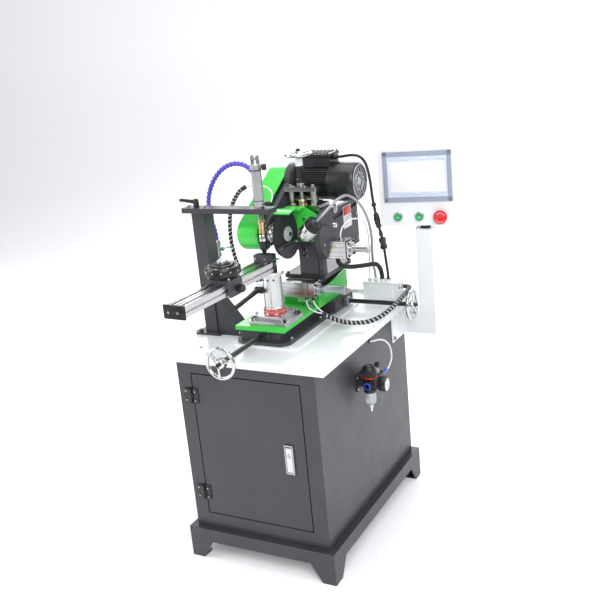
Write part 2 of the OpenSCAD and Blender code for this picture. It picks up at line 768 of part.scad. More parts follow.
// ---------- blade support ----------

module support_frame() {
    translate([post[0], post[1], 0]) rotate(support_yaw) children();
}

module table_slide() color([0.30, 0.84, 0.30]) {
    difference() {
        union() {
            block([table_x0, table_y0, bed_z + slide_gap], [table_x1, table_y1, table_z]);
            block([nut_x[0], nut_y[0], foot_z + 5], [nut_x[1], nut_y[1], table_z - 1]);
        }
        rod_y(nut_y[0] - 1, nut_y[1] + 1, [front_screw_x, front_screw_z], screw_r + run);
    }
}

module swivel_base() color([0.80, 0.81, 0.82]) {
    low = table_z + 12;
    mid = low + 12;
    round_plate([-62, -152, table_z], [56, -50, low], 3);
    translate([post[0], post[1], 0]) rotate(support_yaw) round_plate([-50, -48, low], [50, 40, mid - 1], 3);
    difference() {
        color([0.85, 0.12, 0.10]) rod_z(mid - 1, post_z0 - slide_gap, post, 31);
        rod_z(mid - 2, post_z0 + 1, post, 12 + run);
    }
    for (x = [-50, 44], y = [-142, -60]) translate([x, y, low]) screw(6, 4);
}

module support_post() color([0.78, 0.79, 0.80]) {
    difference() {
        rod_z(post_z0, post_z1, post, post_r);
        support_frame() rod_x(-post_r - 1, -14, [-5, 740], 5);
    }
    rod_z(post_z0 - 10, post_z0 + 1, post, 12);
    rod_z(post_z1, post_z1 + 10, post, 34);
}

module post_lever() color([0.07, 0.07, 0.08]) support_frame() {
    rod_x(-post_r - 2, -14, [-5, 740], 5 - run);
    translate([-post_r - 2, -5, 740]) rotate([0, -90, 0]) cylinder(r = 10, h = 26);
    translate([-post_r - 19, -5, 740]) rotate([98, 0, 0]) cylinder(r1 = 9, r2 = 6, h = 122);
}

module anvil_block() color([0.22, 0.22, 0.26]) support_frame() {
    difference() {
        block([-38, rail_y0, post_z1 + 10], [8, 20, 845]);
        block([-39, 2, 832], [9, 21, 846]);
    }
    color([0.45, 0.46, 0.48]) block([-38, 2, 832], [8, 20, 840]);
}

module rail_profile() {
    half = rail_w / 2;
    difference() {
        square([rail_w, rail_t]);
        for (x = [half - 14, half + 14]) {
            translate([x - 3, rail_t - 5]) square([6, 6]);
            translate([x - 6, rail_t - 9]) square([12, 5]);
            translate([x - 3, -1]) square([6, 6]);
            translate([x - 6, 4]) square([12, 5]);
        }
        for (x = [-1, rail_w - 4]) translate([x, rail_t / 2 - 3]) square([5, 6]);
    }
}

module guide_rail() color([0.80, 0.81, 0.83]) support_frame() {
    translate([rail_off - rail_w / 2, rail_y0, rail_z]) rotate([90, 0, 0])
        linear_extrude(rail_len) rail_profile();
    end = rail_y0 - rail_len;
    color([0.07, 0.07, 0.08]) {
        block([rail_off - 31, end - 6, rail_z - 3], [rail_off + 31, end, rail_z + 31]);
        for (x = [-14, 14]) rod_y(end - 8, end - 6, [rail_off + x, rail_z + 14], 3);
    }
}

module carriage() color([0.12, 0.12, 0.13]) support_frame() {
    y0 = carriage_y - carriage_len / 2;
    y1 = carriage_y + carriage_len / 2;
    half = rail_w / 2;
    difference() {
        block([rail_off - half - 9, y0, rail_z - 5], [rail_off + half + 9, y1, 838]);
        block([rail_off - half - slide_gap, y0 - 1, rail_z - 6],
              [rail_off + half + slide_gap, y1 + 1, rail_z + rail_t + slide_gap]);
        rod_x(rail_off + half, rail_off + half + 10, [carriage_y, 813], 4);
    }
    difference() {
        rod_z(838, disc_z - 3, [rail_off, carriage_y], 25);
        rod_z(839, disc_z, [rail_off, carriage_y], 8 + run);
    }
}

module carriage_knob() color([0.07, 0.07, 0.08]) support_frame() {
    x = rail_off + rail_w / 2 + 9;
    rod_x(x - 7, x + 5, [carriage_y, 813], 4 - run);
    rod_x(x + 3, x + 21, [carriage_y, 813], 10);
}

module arbor_disc() color([0.08, 0.08, 0.08]) support_frame() {
    centre = [rail_off, carriage_y];
    rod_z(841, disc_z + 1, centre, 8);
    rod_z(disc_z - 2.5, disc_z, centre, 25);
    rod_z(disc_z, disc_z + 21, centre, disc_d / 2);
    color([0.75, 0.76, 0.77]) {
        rod_z(disc_z + 21, disc_z + 26, centre, 30);
        rod_z(disc_z + 26, disc_z + 30, centre, 20);
        rod_z(disc_z + 30, disc_z + 36, centre, 12.7);
    }
}

// ---------- grinding head ----------

module head_trough() color([0.30, 0.84, 0.30]) {
    low = bed_z + slide_gap;
    front_z = 690;
    back_z = 708;
    difference() {
        union() {
            block([table_x0, trough_y0, low], [table_x1, trough_y1, table_z]);
            along_x(trough_x0, table_x1) polygon([
                [trough_y0, table_z - 1], [trough_y1, table_z - 1], [trough_y1, back_z], [trough_y0, front_z]
            ]);
            block([-34, 178, foot_z + 5], [14, 212, table_z]);
        }
        block([trough_x0 + trough_t, trough_y0 + trough_t, table_z],
              [table_x1 - trough_t, trough_y1 - trough_t, back_z + 1]);
        rod_x(-36, 16, [side_screw_y, side_screw_z], screw_r + run);
    }
}

module head_column() color([0.22, 0.22, 0.26]) {
    block([-40, 76, table_z], [40, 220, 738]);
    color([0.07, 0.07, 0.08]) round_plate([-42, 40, 738], [88, 222, 750], 4);
    difference() {
        block([8, 46, 750], [66, 100, 834]);
        for (z = [806, 822]) rod_y(45, 50, [28, z], 6.5);
    }
    for (z = [806, 822]) rod_y(46.5, 50, [28, z], 5);
    color([0.80, 0.81, 0.83]) block([70, 44, 750], [84, 66, 834]);
    block([-24, 46, 834], [86, 86, 846]);
}

module guide_posts() color([0.80, 0.81, 0.83]) {
    for (x = guide_x) rod_z(846, 990, [x, head_y], guide_r);
    difference() {
        round_plate([-24, 48, 988], [78, 84, 1000], 3);
        for (x = guide_x) rod_z(987, 989.9, [x, head_y], guide_r);
        rod_z(987, 1001, [lift_x, head_y], screw_r + run);
    }
}

module z_slide() color([0.80, 0.81, 0.82]) {
    difference() {
        union() {
            block([-22, 46, 912], [86, 112, 950]);
            rod_z(949, 966, [lift_x, head_y], 11);
        }
        for (x = guide_x) rod_z(911, 951, [x, head_y], guide_r + run);
        rod_z(880, 967, [lift_x, head_y], screw_r + run);
        rod_x(-23, 87, pivot, 9 + run);
    }
}

module head_profile() {
    slot_shape(spindle, motor, 34);
    translate(motor) circle(56);
    translate([30, 892]) square([90, 60]);
}

module swing_frame() color([0.20, 0.20, 0.23]) {
    difference() {
        along_x(plate_x0, plate_x1) head_profile();
        rod_x(plate_x0 - 1, plate_x1 + 1, spindle, 19);
        rod_x(plate_x0 - 1, plate_x1 + 1, motor, 10);
    }
    rod_x(plate_x1 - 1, right_x0 + 1, pivot, 9);
    difference() {
        along_x(right_x0, right_x1) union() {
            translate([62, 868]) circle(72);
            translate([62, 796]) square([188, 134]);
            translate([30, 868]) square([220, 62]);
        }
        along_x(right_x1 - 6, right_x1 + 1) slot_shape([92, 906], [236, 914], 6);
    }
    color([0.75, 0.76, 0.78]) {
        rod_x(right_x1, right_x1 + 30, [26, 900], 3);
        rod_x(right_x1 + 30, right_x1 + 36, [26, 900], 7);
    }
}

module belt_guard() color([0.30, 0.84, 0.30]) {
    x0 = -118;
    wall = 2.5;
    difference() {
        along_x(x0, plate_x0) slot_shape(spindle, motor, guard_r);
        along_x(x0 + wall, plate_x0 + 1) slot_shape(spindle, motor, guard_r - wall);
    }
}

module wheel_guard() color([0.20, 0.78, 0.24]) {
    inner = wheel_d / 2 + 3.5;
    outer = inner + 2.5;
    difference() {
        along_x(plate_x1 + 22, 50) difference() {
            translate(spindle) circle(outer);
            translate(spindle) circle(inner);
            translate([-200, 700]) square([400, 240]);
        }
        block([-60, -200, 900], [60, -64, 970]);
    }
    translate([0, 32, 0]) rotate([90, 0, 0]) linear_extrude(3) polygon([
        [-6, 852], [84, 852], [84, 928], [62, 940], [46, 950], [-6, 950]
    ]);
    block([-6, -18, 948], [50, 31, 951]);
    rod_y(25, 30, [46, 916], 7);
    side = wheel_x + wheel_t + 1;
    color([0.13, 0.13, 0.14]) difference() {
        along_x(side, side + 4.5) difference() {
            translate(spindle) circle(wheel_d / 2 + 6);
            translate(spindle - [100, 24]) square([200, 120]);
        }
        rod_x(side - 1, side + 6, spindle, 24);
    }
    color([0.13, 0.13, 0.14]) {
        block([side, 24, 826], [side + 4.5, 40, 862]);
        block([-6, 28, 826], [side + 4.5, 32, 853]);
        for (y = [-78, 8]) rod_x(side + 4.5, side + 8.5, [y, 856], 3.5);
    }
}

module spindle_housing() color([0.80, 0.81, 0.82]) {
    difference() {
        union() {
            rod_x(plate_x0, plate_x1 + 26, spindle, 19);
            rod_x(plate_x1, plate_x1 + 8, spindle, 27);
            rod_x(plate_x1 + 7, plate_x1 + 33, spindle, 24);
        }
        rod_x(plate_x0 - 1, plate_x1 + 34, spindle, 8 + run);
    }
}

module grinding_wheel() color([0.13, 0.11, 0.11]) {
    rod_x(wheel_x, wheel_x + wheel_t, spindle, wheel_d / 2);
    color([0.78, 0.79, 0.80]) {
        rod_x(pulley_x0 - 6, wheel_x, spindle, 8);
        rod_x(pulley_x0, pulley_x1, spindle, pulley_r);
        rod_x(wheel_x + wheel_t, wheel_x + wheel_t + 6, spindle, 19);
        rod_x(wheel_x + wheel_t + 6, wheel_x + wheel_t + 12, spindle, 8);
    }
}

module motor_body() color([0.08, 0.08, 0.09]) {
    difference() {
        union() {
            rod_x(plate_x1, plate_x1 + 10, motor, motor_d / 2 + 4);
            rod_x(plate_x1 + 9, 86, motor, motor_d / 2);
            rod_x(86, 168, motor, motor_d / 2 + 4);
            block([6, motor[0] - 32, motor[1] + 40], [90, motor[0] + 36, motor[1] + 88]);
            rod_x(90, 103, [150, 1068], 8);
        }
        rod_x(plate_x1 - 1, 80, motor, 9 + run);
        rod_x(79, 160, motor, motor_d / 2);
        for (y = [-36:12:36])
            block([159, motor[0] + y - 3, motor[1] - 30], [169, motor[0] + y + 3, motor[1] + 30]);
    }
}

module motor_rotor() color([0.70, 0.71, 0.73]) {
    rod_x(pulley_x0 - 6, 150, motor, 9);
    rod_x(pulley_x0, pulley_x1, motor, pulley_r);
    color([0.15, 0.15, 0.16]) {
        rod_x(118, 124, motor, 40);
        for (k = [0:5]) translate([124, motor[0], motor[1]]) rotate([k * 60, 0, 0])
            block([-1, 12, -1.5], [18, 40, 1.5]);
    }
}

module drive_belt() color([0.06, 0.06, 0.06]) {
    inner = pulley_r + 0.3;
    along_x(pulley_x0 + 2, pulley_x1 - 2) difference() {
        hull() for (c = [spindle, motor]) translate(c) circle(inner + belt_t);
        hull() for (c = [spindle, motor]) translate(c) circle(inner);
    }
}

module stroke_cylinder() color([0.82, 0.83, 0.85]) {
    half = 24;
    block([right_x1, stroke[0] - half, stroke[1] - half],
          [right_x1 + 56, stroke[0] + half, stroke[1] + half]);
    block([right_x1 + 56, stroke[0] - half + 2, stroke[1] - half + 2],
          [right_x1 + 62, stroke[0] + half - 2, stroke[1] + half - 2]);
    rod_x(right_x1 + 62, right_x1 + 112, stroke, 10);
    rod_x(right_x1 + 112, right_x1 + 118, stroke, 11);
    rod_z(stroke[1] + half, stroke[1] + half + 4, [140, stroke[0] - 1], 6);
    color([0.08, 0.08, 0.09]) rod_z(784, 796, [98, 112], 8);
}

module feed_cylinder() color([0.84, 0.85, 0.86]) {
    half = 22;
    x0 = -32;
    x1 = 50;
    difference() {
        block([x0, feed[0] - half, feed[1] - half], [x1, feed[0] + half, feed[1] + half]);
        rod_x(x0 - 1, x0 + 10, feed, 5 + run);
        rod_x(x0 + 9, x1 - 4, feed, 14);
    }
    block([x1, feed[0] - half + 1, feed[1] - half + 1], [x1 + 20, feed[0] + half - 1, feed[1] + half - 1]);
    block([-10, feed[0] + half, 664], [40, trough_y0, feed[1] + 12]);
    rod_x(x1 + 20, x1 + 90, feed, 10);
    rod_x(x1 + 90, x1 + 96, feed, 8);
    rod_x(x1 + 96, x1 + 142, feed, 3);
    color([0.08, 0.08, 0.09]) {
        rod_z(feed[1] - half - 8, feed[1] - half, [40, 6], 4);
        rod_z(feed[1] - half - 7, feed[1] - half + 1, [62, 6], 4);
    }
}

module feed_pawl() color([0.70, 0.60, 0.35]) {
    x0 = -32;
    rod_x(x0 - 22, x0 + 56, feed, 5);
    rod_x(x0 + 54, x0 + 62, feed, 14 - 3 * run);
    rod_x(x0 - 36, x0 - 22, feed, 8);
    block([x0 - 36, feed[0] - 5, feed[1]], [x0 - 26, feed[0] + 5, feed[1] + 52]);
    block([x0 - 36, -48, feed[1] + 51], [x0 - 26, feed[0] + 5, feed[1] + 59]);
}

cabinet_shell();
plinth();
drip_tray();
hinge_leaves();
door_panel();
door_hinges();
latch_paddle();
coolant_tank();
coolant_pump();
control_gear();
bed();
column();
top_bar();
bar_lever();
clamp_cylinder();
clamp_rod();
coolant_valve();
valve_lever();
coolant_hose();
coolant_nozzle();
air_bundles();
air_tubes();
head_cables();
lamp_gooseneck();
work_lamp();
junction_box();
panel_post();
panel_box();
start_button();
cycle_button();
emergency_stop();
air_regulator();
regulator_knob();
front_handwheel();
side_handwheel();
top_handwheel();
table_slide();
swivel_base();
support_post();
post_lever();
anvil_block();
guide_rail();
carriage();
carriage_knob();
arbor_disc();
head_trough();
head_column();
guide_posts();
z_slide();
swing_frame();
belt_guard();
wheel_guard();
spindle_housing();
grinding_wheel();
motor_body();
motor_rotor();
drive_belt();
stroke_cylinder();
feed_cylinder();
feed_pawl();
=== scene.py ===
import json
import math
import random

import bmesh
import bpy
from mathutils import Matrix, Vector


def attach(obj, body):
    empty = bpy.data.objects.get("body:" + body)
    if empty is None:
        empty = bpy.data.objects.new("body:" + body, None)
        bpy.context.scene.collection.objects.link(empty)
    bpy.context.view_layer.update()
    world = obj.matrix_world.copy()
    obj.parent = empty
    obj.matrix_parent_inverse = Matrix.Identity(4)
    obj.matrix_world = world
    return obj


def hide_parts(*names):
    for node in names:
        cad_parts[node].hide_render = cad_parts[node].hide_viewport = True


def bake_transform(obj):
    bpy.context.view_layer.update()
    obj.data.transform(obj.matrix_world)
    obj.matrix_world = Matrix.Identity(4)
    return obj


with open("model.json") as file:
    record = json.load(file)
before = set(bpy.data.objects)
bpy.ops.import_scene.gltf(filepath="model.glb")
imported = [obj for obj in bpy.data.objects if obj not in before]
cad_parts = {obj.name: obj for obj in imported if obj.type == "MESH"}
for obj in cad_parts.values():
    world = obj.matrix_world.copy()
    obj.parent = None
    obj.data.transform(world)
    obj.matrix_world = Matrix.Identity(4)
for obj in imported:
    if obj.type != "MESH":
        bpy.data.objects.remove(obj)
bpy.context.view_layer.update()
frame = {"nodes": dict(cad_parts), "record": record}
random.seed(7)

MM = 0.001
TAU = 2 * math.pi


# ---------------------------------------------------------------- camera, floor and light

CAMERA_AT = (1.2033, -2.1398, 1.4376)
CAMERA_AZIMUTH = 28.9
CAMERA_ELEVATION = 17.1
CAMERA_ROLL = -5.5
LENS = 53.9


def make_camera():
    data = bpy.data.cameras.new("camera")
    data.lens = LENS
    data.sensor_width = 36
    data.clip_start = 0.05
    data.clip_end = 60
    camera = bpy.data.objects.new("camera", data)
    bpy.context.scene.collection.objects.link(camera)
    a, e, roll = (math.radians(x) for x in (CAMERA_AZIMUTH, CAMERA_ELEVATION, CAMERA_ROLL))
    back = Vector((math.sin(a) * math.cos(e), -math.cos(a) * math.cos(e), math.sin(e)))
    level = Vector((math.cos(a), math.sin(a), 0))
    upright = back.cross(level)
    right = math.cos(roll) * level + math.sin(roll) * upright
    up = back.cross(right)
    turn = Matrix((right, up, back)).transposed().to_4x4()
    camera.matrix_world = Matrix.Translation(CAMERA_AT) @ turn
    bpy.context.scene.camera = camera


def area_light(name, at, target, size, power, tint=(1, 1, 1)):
    data = bpy.data.lights.new(name, "AREA")
    data.shape = "RECTANGLE"
    data.size, data.size_y = size
    data.energy = power
    data.color = tint
    lamp = bpy.data.objects.new(name, data)
    lamp.location = at
    lamp.rotation_mode = "QUATERNION"
    lamp.rotation_quaternion = (Vector(target) - Vector(at)).to_track_quat("-Z", "Y")
    bpy.context.scene.collection.objects.link(lamp)


def make_studio():
    mesh = bpy.data.meshes.new("floor")
    floor = bpy.data.objects.new("floor", mesh)
    bpy.context.scene.collection.objects.link(floor)
    shape = bmesh.new()
    profile = [(-9, 0), (2.4, 0)] + [
        (2.4 + 1.6 * math.sin(a), 1.6 - 1.6 * math.cos(a)) for a in (math.radians(9 * k) for k in range(1, 10))
    ] + [(4.0, 7)]
    rows = [[shape.verts.new((x, y, z)) for y, z in profile] for x in (-9, 9)]
    for k in range(len(profile) - 1):
        shape.faces.new((rows[0][k], rows[0][k + 1], rows[1][k + 1], rows[1][k]))
    bmesh.ops.recalc_face_normals(shape, faces=shape.faces)
    shape.to_mesh(mesh)
    shape.free()
    for face in mesh.polygons:
        face.use_smooth = True
    paint = bpy.data.materials.new("studio_paper")
    paint.use_nodes = True
    shader = paint.node_tree.nodes["Principled BSDF"]
    shader.inputs["Base Color"].default_value = (0.93, 0.93, 0.94, 1)
    shader.inputs["Roughness"].default_value = 0.85
    shader.inputs["Emission Color"].default_value = (0.97, 0.98, 1.0, 1)
    shader.inputs["Emission Strength"].default_value = 0.16
    mesh.materials.append(paint)
    middle = (0, 0, 0.7)
    area_light("key", (2.2, -2.6, 3.0), middle, (2.0, 2.0), 105)
    area_light("left_fill", (-3.4, -1.8, 2.0), middle, (2.4, 2.4), 66)
    area_light("top", (0.0, 0.2, 3.6), middle, (2.8, 2.8), 60)
    area_light("back", (-1.2, 3.0, 2.6), middle, (2.4, 1.6), 42)
    world = bpy.data.worlds.new("studio")
    world.use_nodes = True
    world.node_tree.nodes["Background"].inputs["Color"].default_value = (0.93, 0.95, 1.0, 1)
    world.node_tree.nodes["Background"].inputs["Strength"].default_value = 0.42
    bpy.context.scene.world = world
    bpy.context.scene.view_settings.view_transform = "Standard"


# ---------------------------------------------------------------- materials

MATERIALS = {}


def material(name, colour, metallic=0.0, rough=0.5, grain=900.0, bump=0.1, mottle=0.08,
             rough_spread=0.08, coat=0.0, stretch=(1, 1, 1), round_edge=0.0, clear=0.0,
             wear=0.0, wear_colour=(0.5, 0.5, 0.52)):
    """A finish with its own grain, roughness variation and slight mottling, in object space."""
    if name in MATERIALS:
        return MATERIALS[name]
    made = bpy.data.materials.new(name)
    made.use_nodes = True
    made.diffuse_color = (*colour, 1)
    nodes, links = made.node_tree.nodes, made.node_tree.links
    shader = nodes["Principled BSDF"]
    shader.inputs["Metallic"].default_value = metallic
    shader.inputs["Coat Weight"].default_value = coat
    shader.inputs["Coat Roughness"].default_value = 0.12
    shader.inputs["Transmission Weight"].default_value = clear
    place = nodes.new("ShaderNodeTexCoord")
    scaled = nodes.new("ShaderNodeMapping")
    scaled.inputs["Scale"].default_value = stretch
    links.new(place.outputs["Object"], scaled.inputs["Vector"])

    def noise(scale, detail):
        node = nodes.new("ShaderNodeTexNoise")
        node.inputs["Scale"].default_value = scale
        node.inputs["Detail"].default_value = detail
        links.new(scaled.outputs["Vector"], node.inputs["Vector"])
        return node.outputs["Fac"]

    broad = noise(9.0, 4.0)
    fine = noise(grain, 3.0)
    ramp = nodes.new("ShaderNodeValToRGB")
    low, high = (tuple(max(0.0, min(1.0, c * (1 + s * mottle))) for c in colour) for s in (-1, 1))
    ramp.color_ramp.elements[0].position, ramp.color_ramp.elements[1].position = 0.3, 0.7
    ramp.color_ramp.elements[0].color = (*low, 1)
    ramp.color_ramp.elements[1].color = (*high, 1)
    links.new(broad, ramp.inputs["Fac"])
    tone = ramp.outputs["Color"]
    if wear:
        spots = nodes.new("ShaderNodeMapRange")
        spots.inputs["From Min"].default_value = 0.66
        spots.inputs["From Max"].default_value = 0.74
        spots.inputs["To Max"].default_value = wear
        links.new(noise(55.0, 6.0), spots.inputs["Value"])
        mix = nodes.new("ShaderNodeMix")
        mix.data_type = "RGBA"
        links.new(spots.outputs["Result"], mix.inputs[0])
        links.new(tone, mix.inputs[6])
        mix.inputs[7].default_value = (*wear_colour, 1)
        tone = mix.outputs[2]
    links.new(tone, shader.inputs["Base Color"])
    spread = nodes.new("ShaderNodeMapRange")
    spread.inputs["To Min"].default_value = max(0.02, rough - rough_spread)
    spread.inputs["To Max"].default_value = min(1.0, rough + rough_spread)
    links.new(noise(26.0, 5.0), spread.inputs["Value"])
    links.new(spread.outputs["Result"], shader.inputs["Roughness"])
    relief = nodes.new("ShaderNodeBump")
    relief.inputs["Strength"].default_value = bump
    relief.inputs["Distance"].default_value = 0.0004
    links.new(fine, relief.inputs["Height"])
    if round_edge:
        edge = nodes.new("ShaderNodeBevel")
        edge.inputs["Radius"].default_value = round_edge
        edge.samples = 4
        links.new(edge.outputs["Normal"], relief.inputs["Normal"])
    links.new(relief.outputs["Normal"], shader.inputs["Normal"])
    MATERIALS[name] = made
    return made


def finish_of(slot):
    """The finish that stands for each of the record's material slots."""
    made = {
        "dark_paint": lambda: material("dark_paint", (0.036, 0.036, 0.043), rough=0.42, grain=1500, bump=0.22,
                                       mottle=0.10, coat=0.15, round_edge=0.0012),
        "white_paint": lambda: material("white_paint", (0.83, 0.85, 0.87), rough=0.30, grain=500, bump=0.05,
                                        mottle=0.02, coat=0.4, round_edge=0.0012),
        "green_paint": lambda: material("green_paint", (0.045, 0.60, 0.060), rough=0.33, grain=420, bump=0.10,
                                        mottle=0.07, coat=0.35, round_edge=0.0010, wear=0.10,
                                        wear_colour=(0.03, 0.30, 0.05)),
        "bed_paint": lambda: material("bed_paint", (0.054, 0.053, 0.062), rough=0.45, grain=900, bump=0.25,
                                      mottle=0.15, round_edge=0.0010, wear=0.25, wear_colour=(0.08, 0.08, 0.085)),
        "chrome": lambda: material("chrome", (0.66, 0.66, 0.655), metallic=1, rough=0.12, grain=300, bump=0.008,
                                   mottle=0.03, rough_spread=0.05, round_edge=0.0008),
        "aluminium": lambda: material("aluminium", (0.62, 0.62, 0.62), metallic=1, rough=0.22, grain=260, bump=0.012,
                                      mottle=0.05, stretch=(1, 6, 1), round_edge=0.0007),
        "steel": lambda: material("steel", (0.48, 0.47, 0.45), metallic=1, rough=0.22, grain=300, bump=0.015,
                                  mottle=0.06, stretch=(1, 1, 8), round_edge=0.0005),
        "black_plastic": lambda: material("black_plastic", (0.013, 0.013, 0.015), rough=0.42, grain=1600, bump=0.18,
                                          mottle=0.2, round_edge=0.0006),
        "black_metal": lambda: material("black_metal", (0.012, 0.0125, 0.014), rough=0.36, grain=1200, bump=0.15,
                                        mottle=0.2, coat=0.2, round_edge=0.0006),
        "blue_hose": lambda: material("blue_hose", (0.075, 0.055, 0.50), rough=0.30, grain=300, bump=0.04,
                                      mottle=0.08, coat=0.3),
        "black_hose": lambda: material("black_hose", (0.011, 0.011, 0.013), rough=0.40, grain=700, bump=0.12,
                                       mottle=0.25),
        "clear_tube": lambda: material("clear_tube", (0.80, 0.82, 0.84), rough=0.22, grain=400, bump=0.03,
                                       mottle=0.03, coat=0.3),
        "grey_hose": lambda: material("grey_hose", (0.42, 0.43, 0.45), metallic=0.85, rough=0.35, grain=700,
                                      bump=0.08, mottle=0.08),
        "abrasive": lambda: material("abrasive", (0.016, 0.015, 0.017), rough=0.88, grain=2200, bump=0.9,
                                     mottle=0.45, rough_spread=0.1),
        "brass": lambda: material("brass", (0.60, 0.47, 0.22), metallic=1, rough=0.30, grain=900, bump=0.08,
                                  mottle=0.08, round_edge=0.0006),
        "button_green": lambda: material("button_green", (0.005, 0.36, 0.11), rough=0.28, grain=300, bump=0.03,
                                         mottle=0.04, coat=0.4, round_edge=0.0007),
        "stop_red": lambda: material("stop_red", (0.68, 0.008, 0.012), rough=0.27, grain=300, bump=0.03,
                                     mottle=0.04, coat=0.5, round_edge=0.0010),
        "rubber": lambda: material("rubber", (0.012, 0.012, 0.012), rough=0.7, grain=800, bump=0.2, mottle=0.2),
        "pump_paint": lambda: material("pump_paint", (0.015, 0.07, 0.24), rough=0.4, grain=700, bump=0.15,
                                       mottle=0.1, round_edge=0.0012),
        "zinc": lambda: material("zinc", (0.50, 0.52, 0.55), metallic=0.9, rough=0.34, grain=60, bump=0.02,
                                 mottle=0.12, round_edge=0.0006),
        "gear_grey": lambda: material("gear_grey", (0.48, 0.49, 0.51), rough=0.5, grain=900, bump=0.1,
                                      mottle=0.05, round_edge=0.0008),
        "red_ring": lambda: material("red_ring", (0.62, 0.012, 0.010), rough=0.32, grain=500, bump=0.05,
                                     mottle=0.05, coat=0.3, round_edge=0.0008),
        "white_mark": lambda: material("white_mark", (0.85, 0.85, 0.84), rough=0.5, grain=900, bump=0.03,
                                       mottle=0.03),
        "blue_fitting": lambda: material("blue_fitting", (0.01, 0.07, 0.55), rough=0.3, grain=500, bump=0.03,
                                         mottle=0.04, coat=0.4, round_edge=0.0005),
        "flange_grey": lambda: material("flange_grey", (0.50, 0.54, 0.53), metallic=0.4, rough=0.35, grain=900, bump=0.06,
                                        mottle=0.08, round_edge=0.0006),
        "dark_steel": lambda: material("dark_steel", (0.10, 0.10, 0.11), metallic=0.9, rough=0.28, grain=900, bump=0.08,
                                       mottle=0.15, round_edge=0.0006),
        "bezel_blue": lambda: material("bezel_blue", (0.30, 0.335, 0.42), rough=0.35, grain=900, bump=0.05,
                                       mottle=0.04, coat=0.2, round_edge=0.0008),
        "screen": lambda: material("screen", (0.70, 0.76, 0.88), rough=0.12, grain=400, bump=0.01, mottle=0.10,
                                   rough_spread=0.03, coat=0.5),
        "screen_wave": lambda: material("screen_wave", (0.30, 0.38, 0.66), rough=0.3, grain=400, bump=0.02,
                                        mottle=0.15),
        "bowl": lambda: clear_plastic(),
        "tape": lambda: material("tape", (0.015, 0.015, 0.017), rough=0.35, grain=140, bump=0.5, mottle=0.3,
                                 coat=0.2),
    }
    return made[slot]()


def clear_plastic():
    made = material("clear_bowl", (0.78, 0.82, 0.84), rough=0.10, grain=200, bump=0.03, mottle=0.02,
                    rough_spread=0.03, clear=0.55)
    made.node_tree.nodes["Principled BSDF"].inputs["IOR"].default_value = 1.49
    return made


ZONES = {
    # node: [(finish, lowest corner, highest corner)] in millimetres, for the parts of a node in another finish
    "drip_tray": [("rubber", (-141, 101, 599.5), (-119, 123, 620)), ("steel", (-142, 238, 590), (-108, 272, 601))],
    "wheel_guard": [("bed_paint", (22.5, -120, 780), (28, 60, 980)), ("bed_paint", (-8, 27, 820), (28, 41, 853.5)),
                    ("steel", (27, -84, 850), (33, 14, 862))],
    "guide_rail": [("black_plastic", (-80, -524, 780), (80, -500, 840))],
    "swivel_base": [("red_ring", (-42, -122, 681.5), (22, -58, 693))],
    "head_column": [("black_metal", (-43, 39, 737.5), (89, 223, 750.5)), ("aluminium", (69, 43, 750.5), (85, 67, 833.5)),
                    ("steel", (22, 46.2, 800), (34, 49.9, 828))],
    "swing_frame": [("chrome", (107.2, 10, 880), (150, 40, 912)), ("steel", (-27, 86, 921), (89, 106, 941))],
    "motor_rotor": [("gear_grey", (117, 90, 930), (145, 210, 1060))],
    "stroke_cylinder": [("black_plastic", (88, 102, 783), (108, 122, 797))],
    "anvil_block": [("steel", (-60, -95, 831.5), (10, -60, 841))],
    "carriage": [("steel", (-60, -360, 838.2), (40, -260, 846))],
    "door_panel": [("steel", (102, -310, 305), (129, -305.6, 391))],
    "control_gear": [("black_plastic", (-140, 290, 160), (-100, 340, 200))],
}


def paint_cad():
    """Every CAD node that stays in view takes its slot's finish, and its zones take theirs."""
    slots = {row["node"]: row["material_slot"] for row in frame["record"]["subparts"]}
    for name, piece in frame["nodes"].items():
        if piece.hide_render:
            continue
        zones = ZONES.get(name, [])
        piece.data.materials.clear()
        for finish in [slots[name]] + [z[0] for z in zones]:
            piece.data.materials.append(finish_of(finish))
        corners = [v.co / MM for v in piece.data.vertices]
        for face in piece.data.polygons:
            face.material_index = 0
            for k, (_, low, high) in enumerate(zones):
                if all(low[i] <= corners[v][i] <= high[i] for v in face.vertices for i in range(3)):
                    face.material_index = k + 1


# ---------------------------------------------------------------- mesh helpers

def piece_from(shape, name, body, slot, smooth=True, angle=35.0, bevel=0.0, finish=None):
    """Turns a bmesh into a piece that rides on a body."""
    bmesh.ops.recalc_face_normals(shape, faces=shape.faces)
    mesh = bpy.data.meshes.new(name)
    shape.to_mesh(mesh)
    shape.free()
    piece = bpy.data.objects.new(name, mesh)
    bpy.context.scene.collection.objects.link(piece)
    mesh.materials.append(finish or finish_of(slot))
    if smooth:
        for face in mesh.polygons:
            face.use_smooth = True
        mesh.set_sharp_from_angle(angle=math.radians(angle))
    if bevel:
        cut = piece.modifiers.new("rounding", "BEVEL")
        cut.width = bevel
        cut.segments = 2
        cut.limit_method = "ANGLE"
        cut.angle_limit = math.radians(32)
        cut.harden_normals = True
    if body:
        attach(piece, body)
    return piece


def add_lathe(shape, profile, place, sides=48):
    """Adds a turned solid: profile is (radius, height) pairs along the local Z of place."""
    rings = []
    for radius, height in profile:
        if radius < 1e-6:
            rings.append([shape.verts.new(place @ Vector((0, 0, height)))])
        else:
            rings.append([
                shape.verts.new(place @ Vector((radius * math.cos(TAU * k / sides),
                                                radius * math.sin(TAU * k / sides), height)))
                for k in range(sides)
            ])
    for low, high in zip(rings, rings[1:]):
        for k in range(sides):
            j = (k + 1) % sides
            corners = [low[k % len(low)], low[j % len(low)], high[j % len(high)], high[k % len(high)]]
            corners = list(dict.fromkeys(corners))
            if len(corners) > 2:
                shape.faces.new(corners)
    for ring in (rings[0], rings[-1]):
        if len(ring) > 2:
            shape.faces.new(ring)


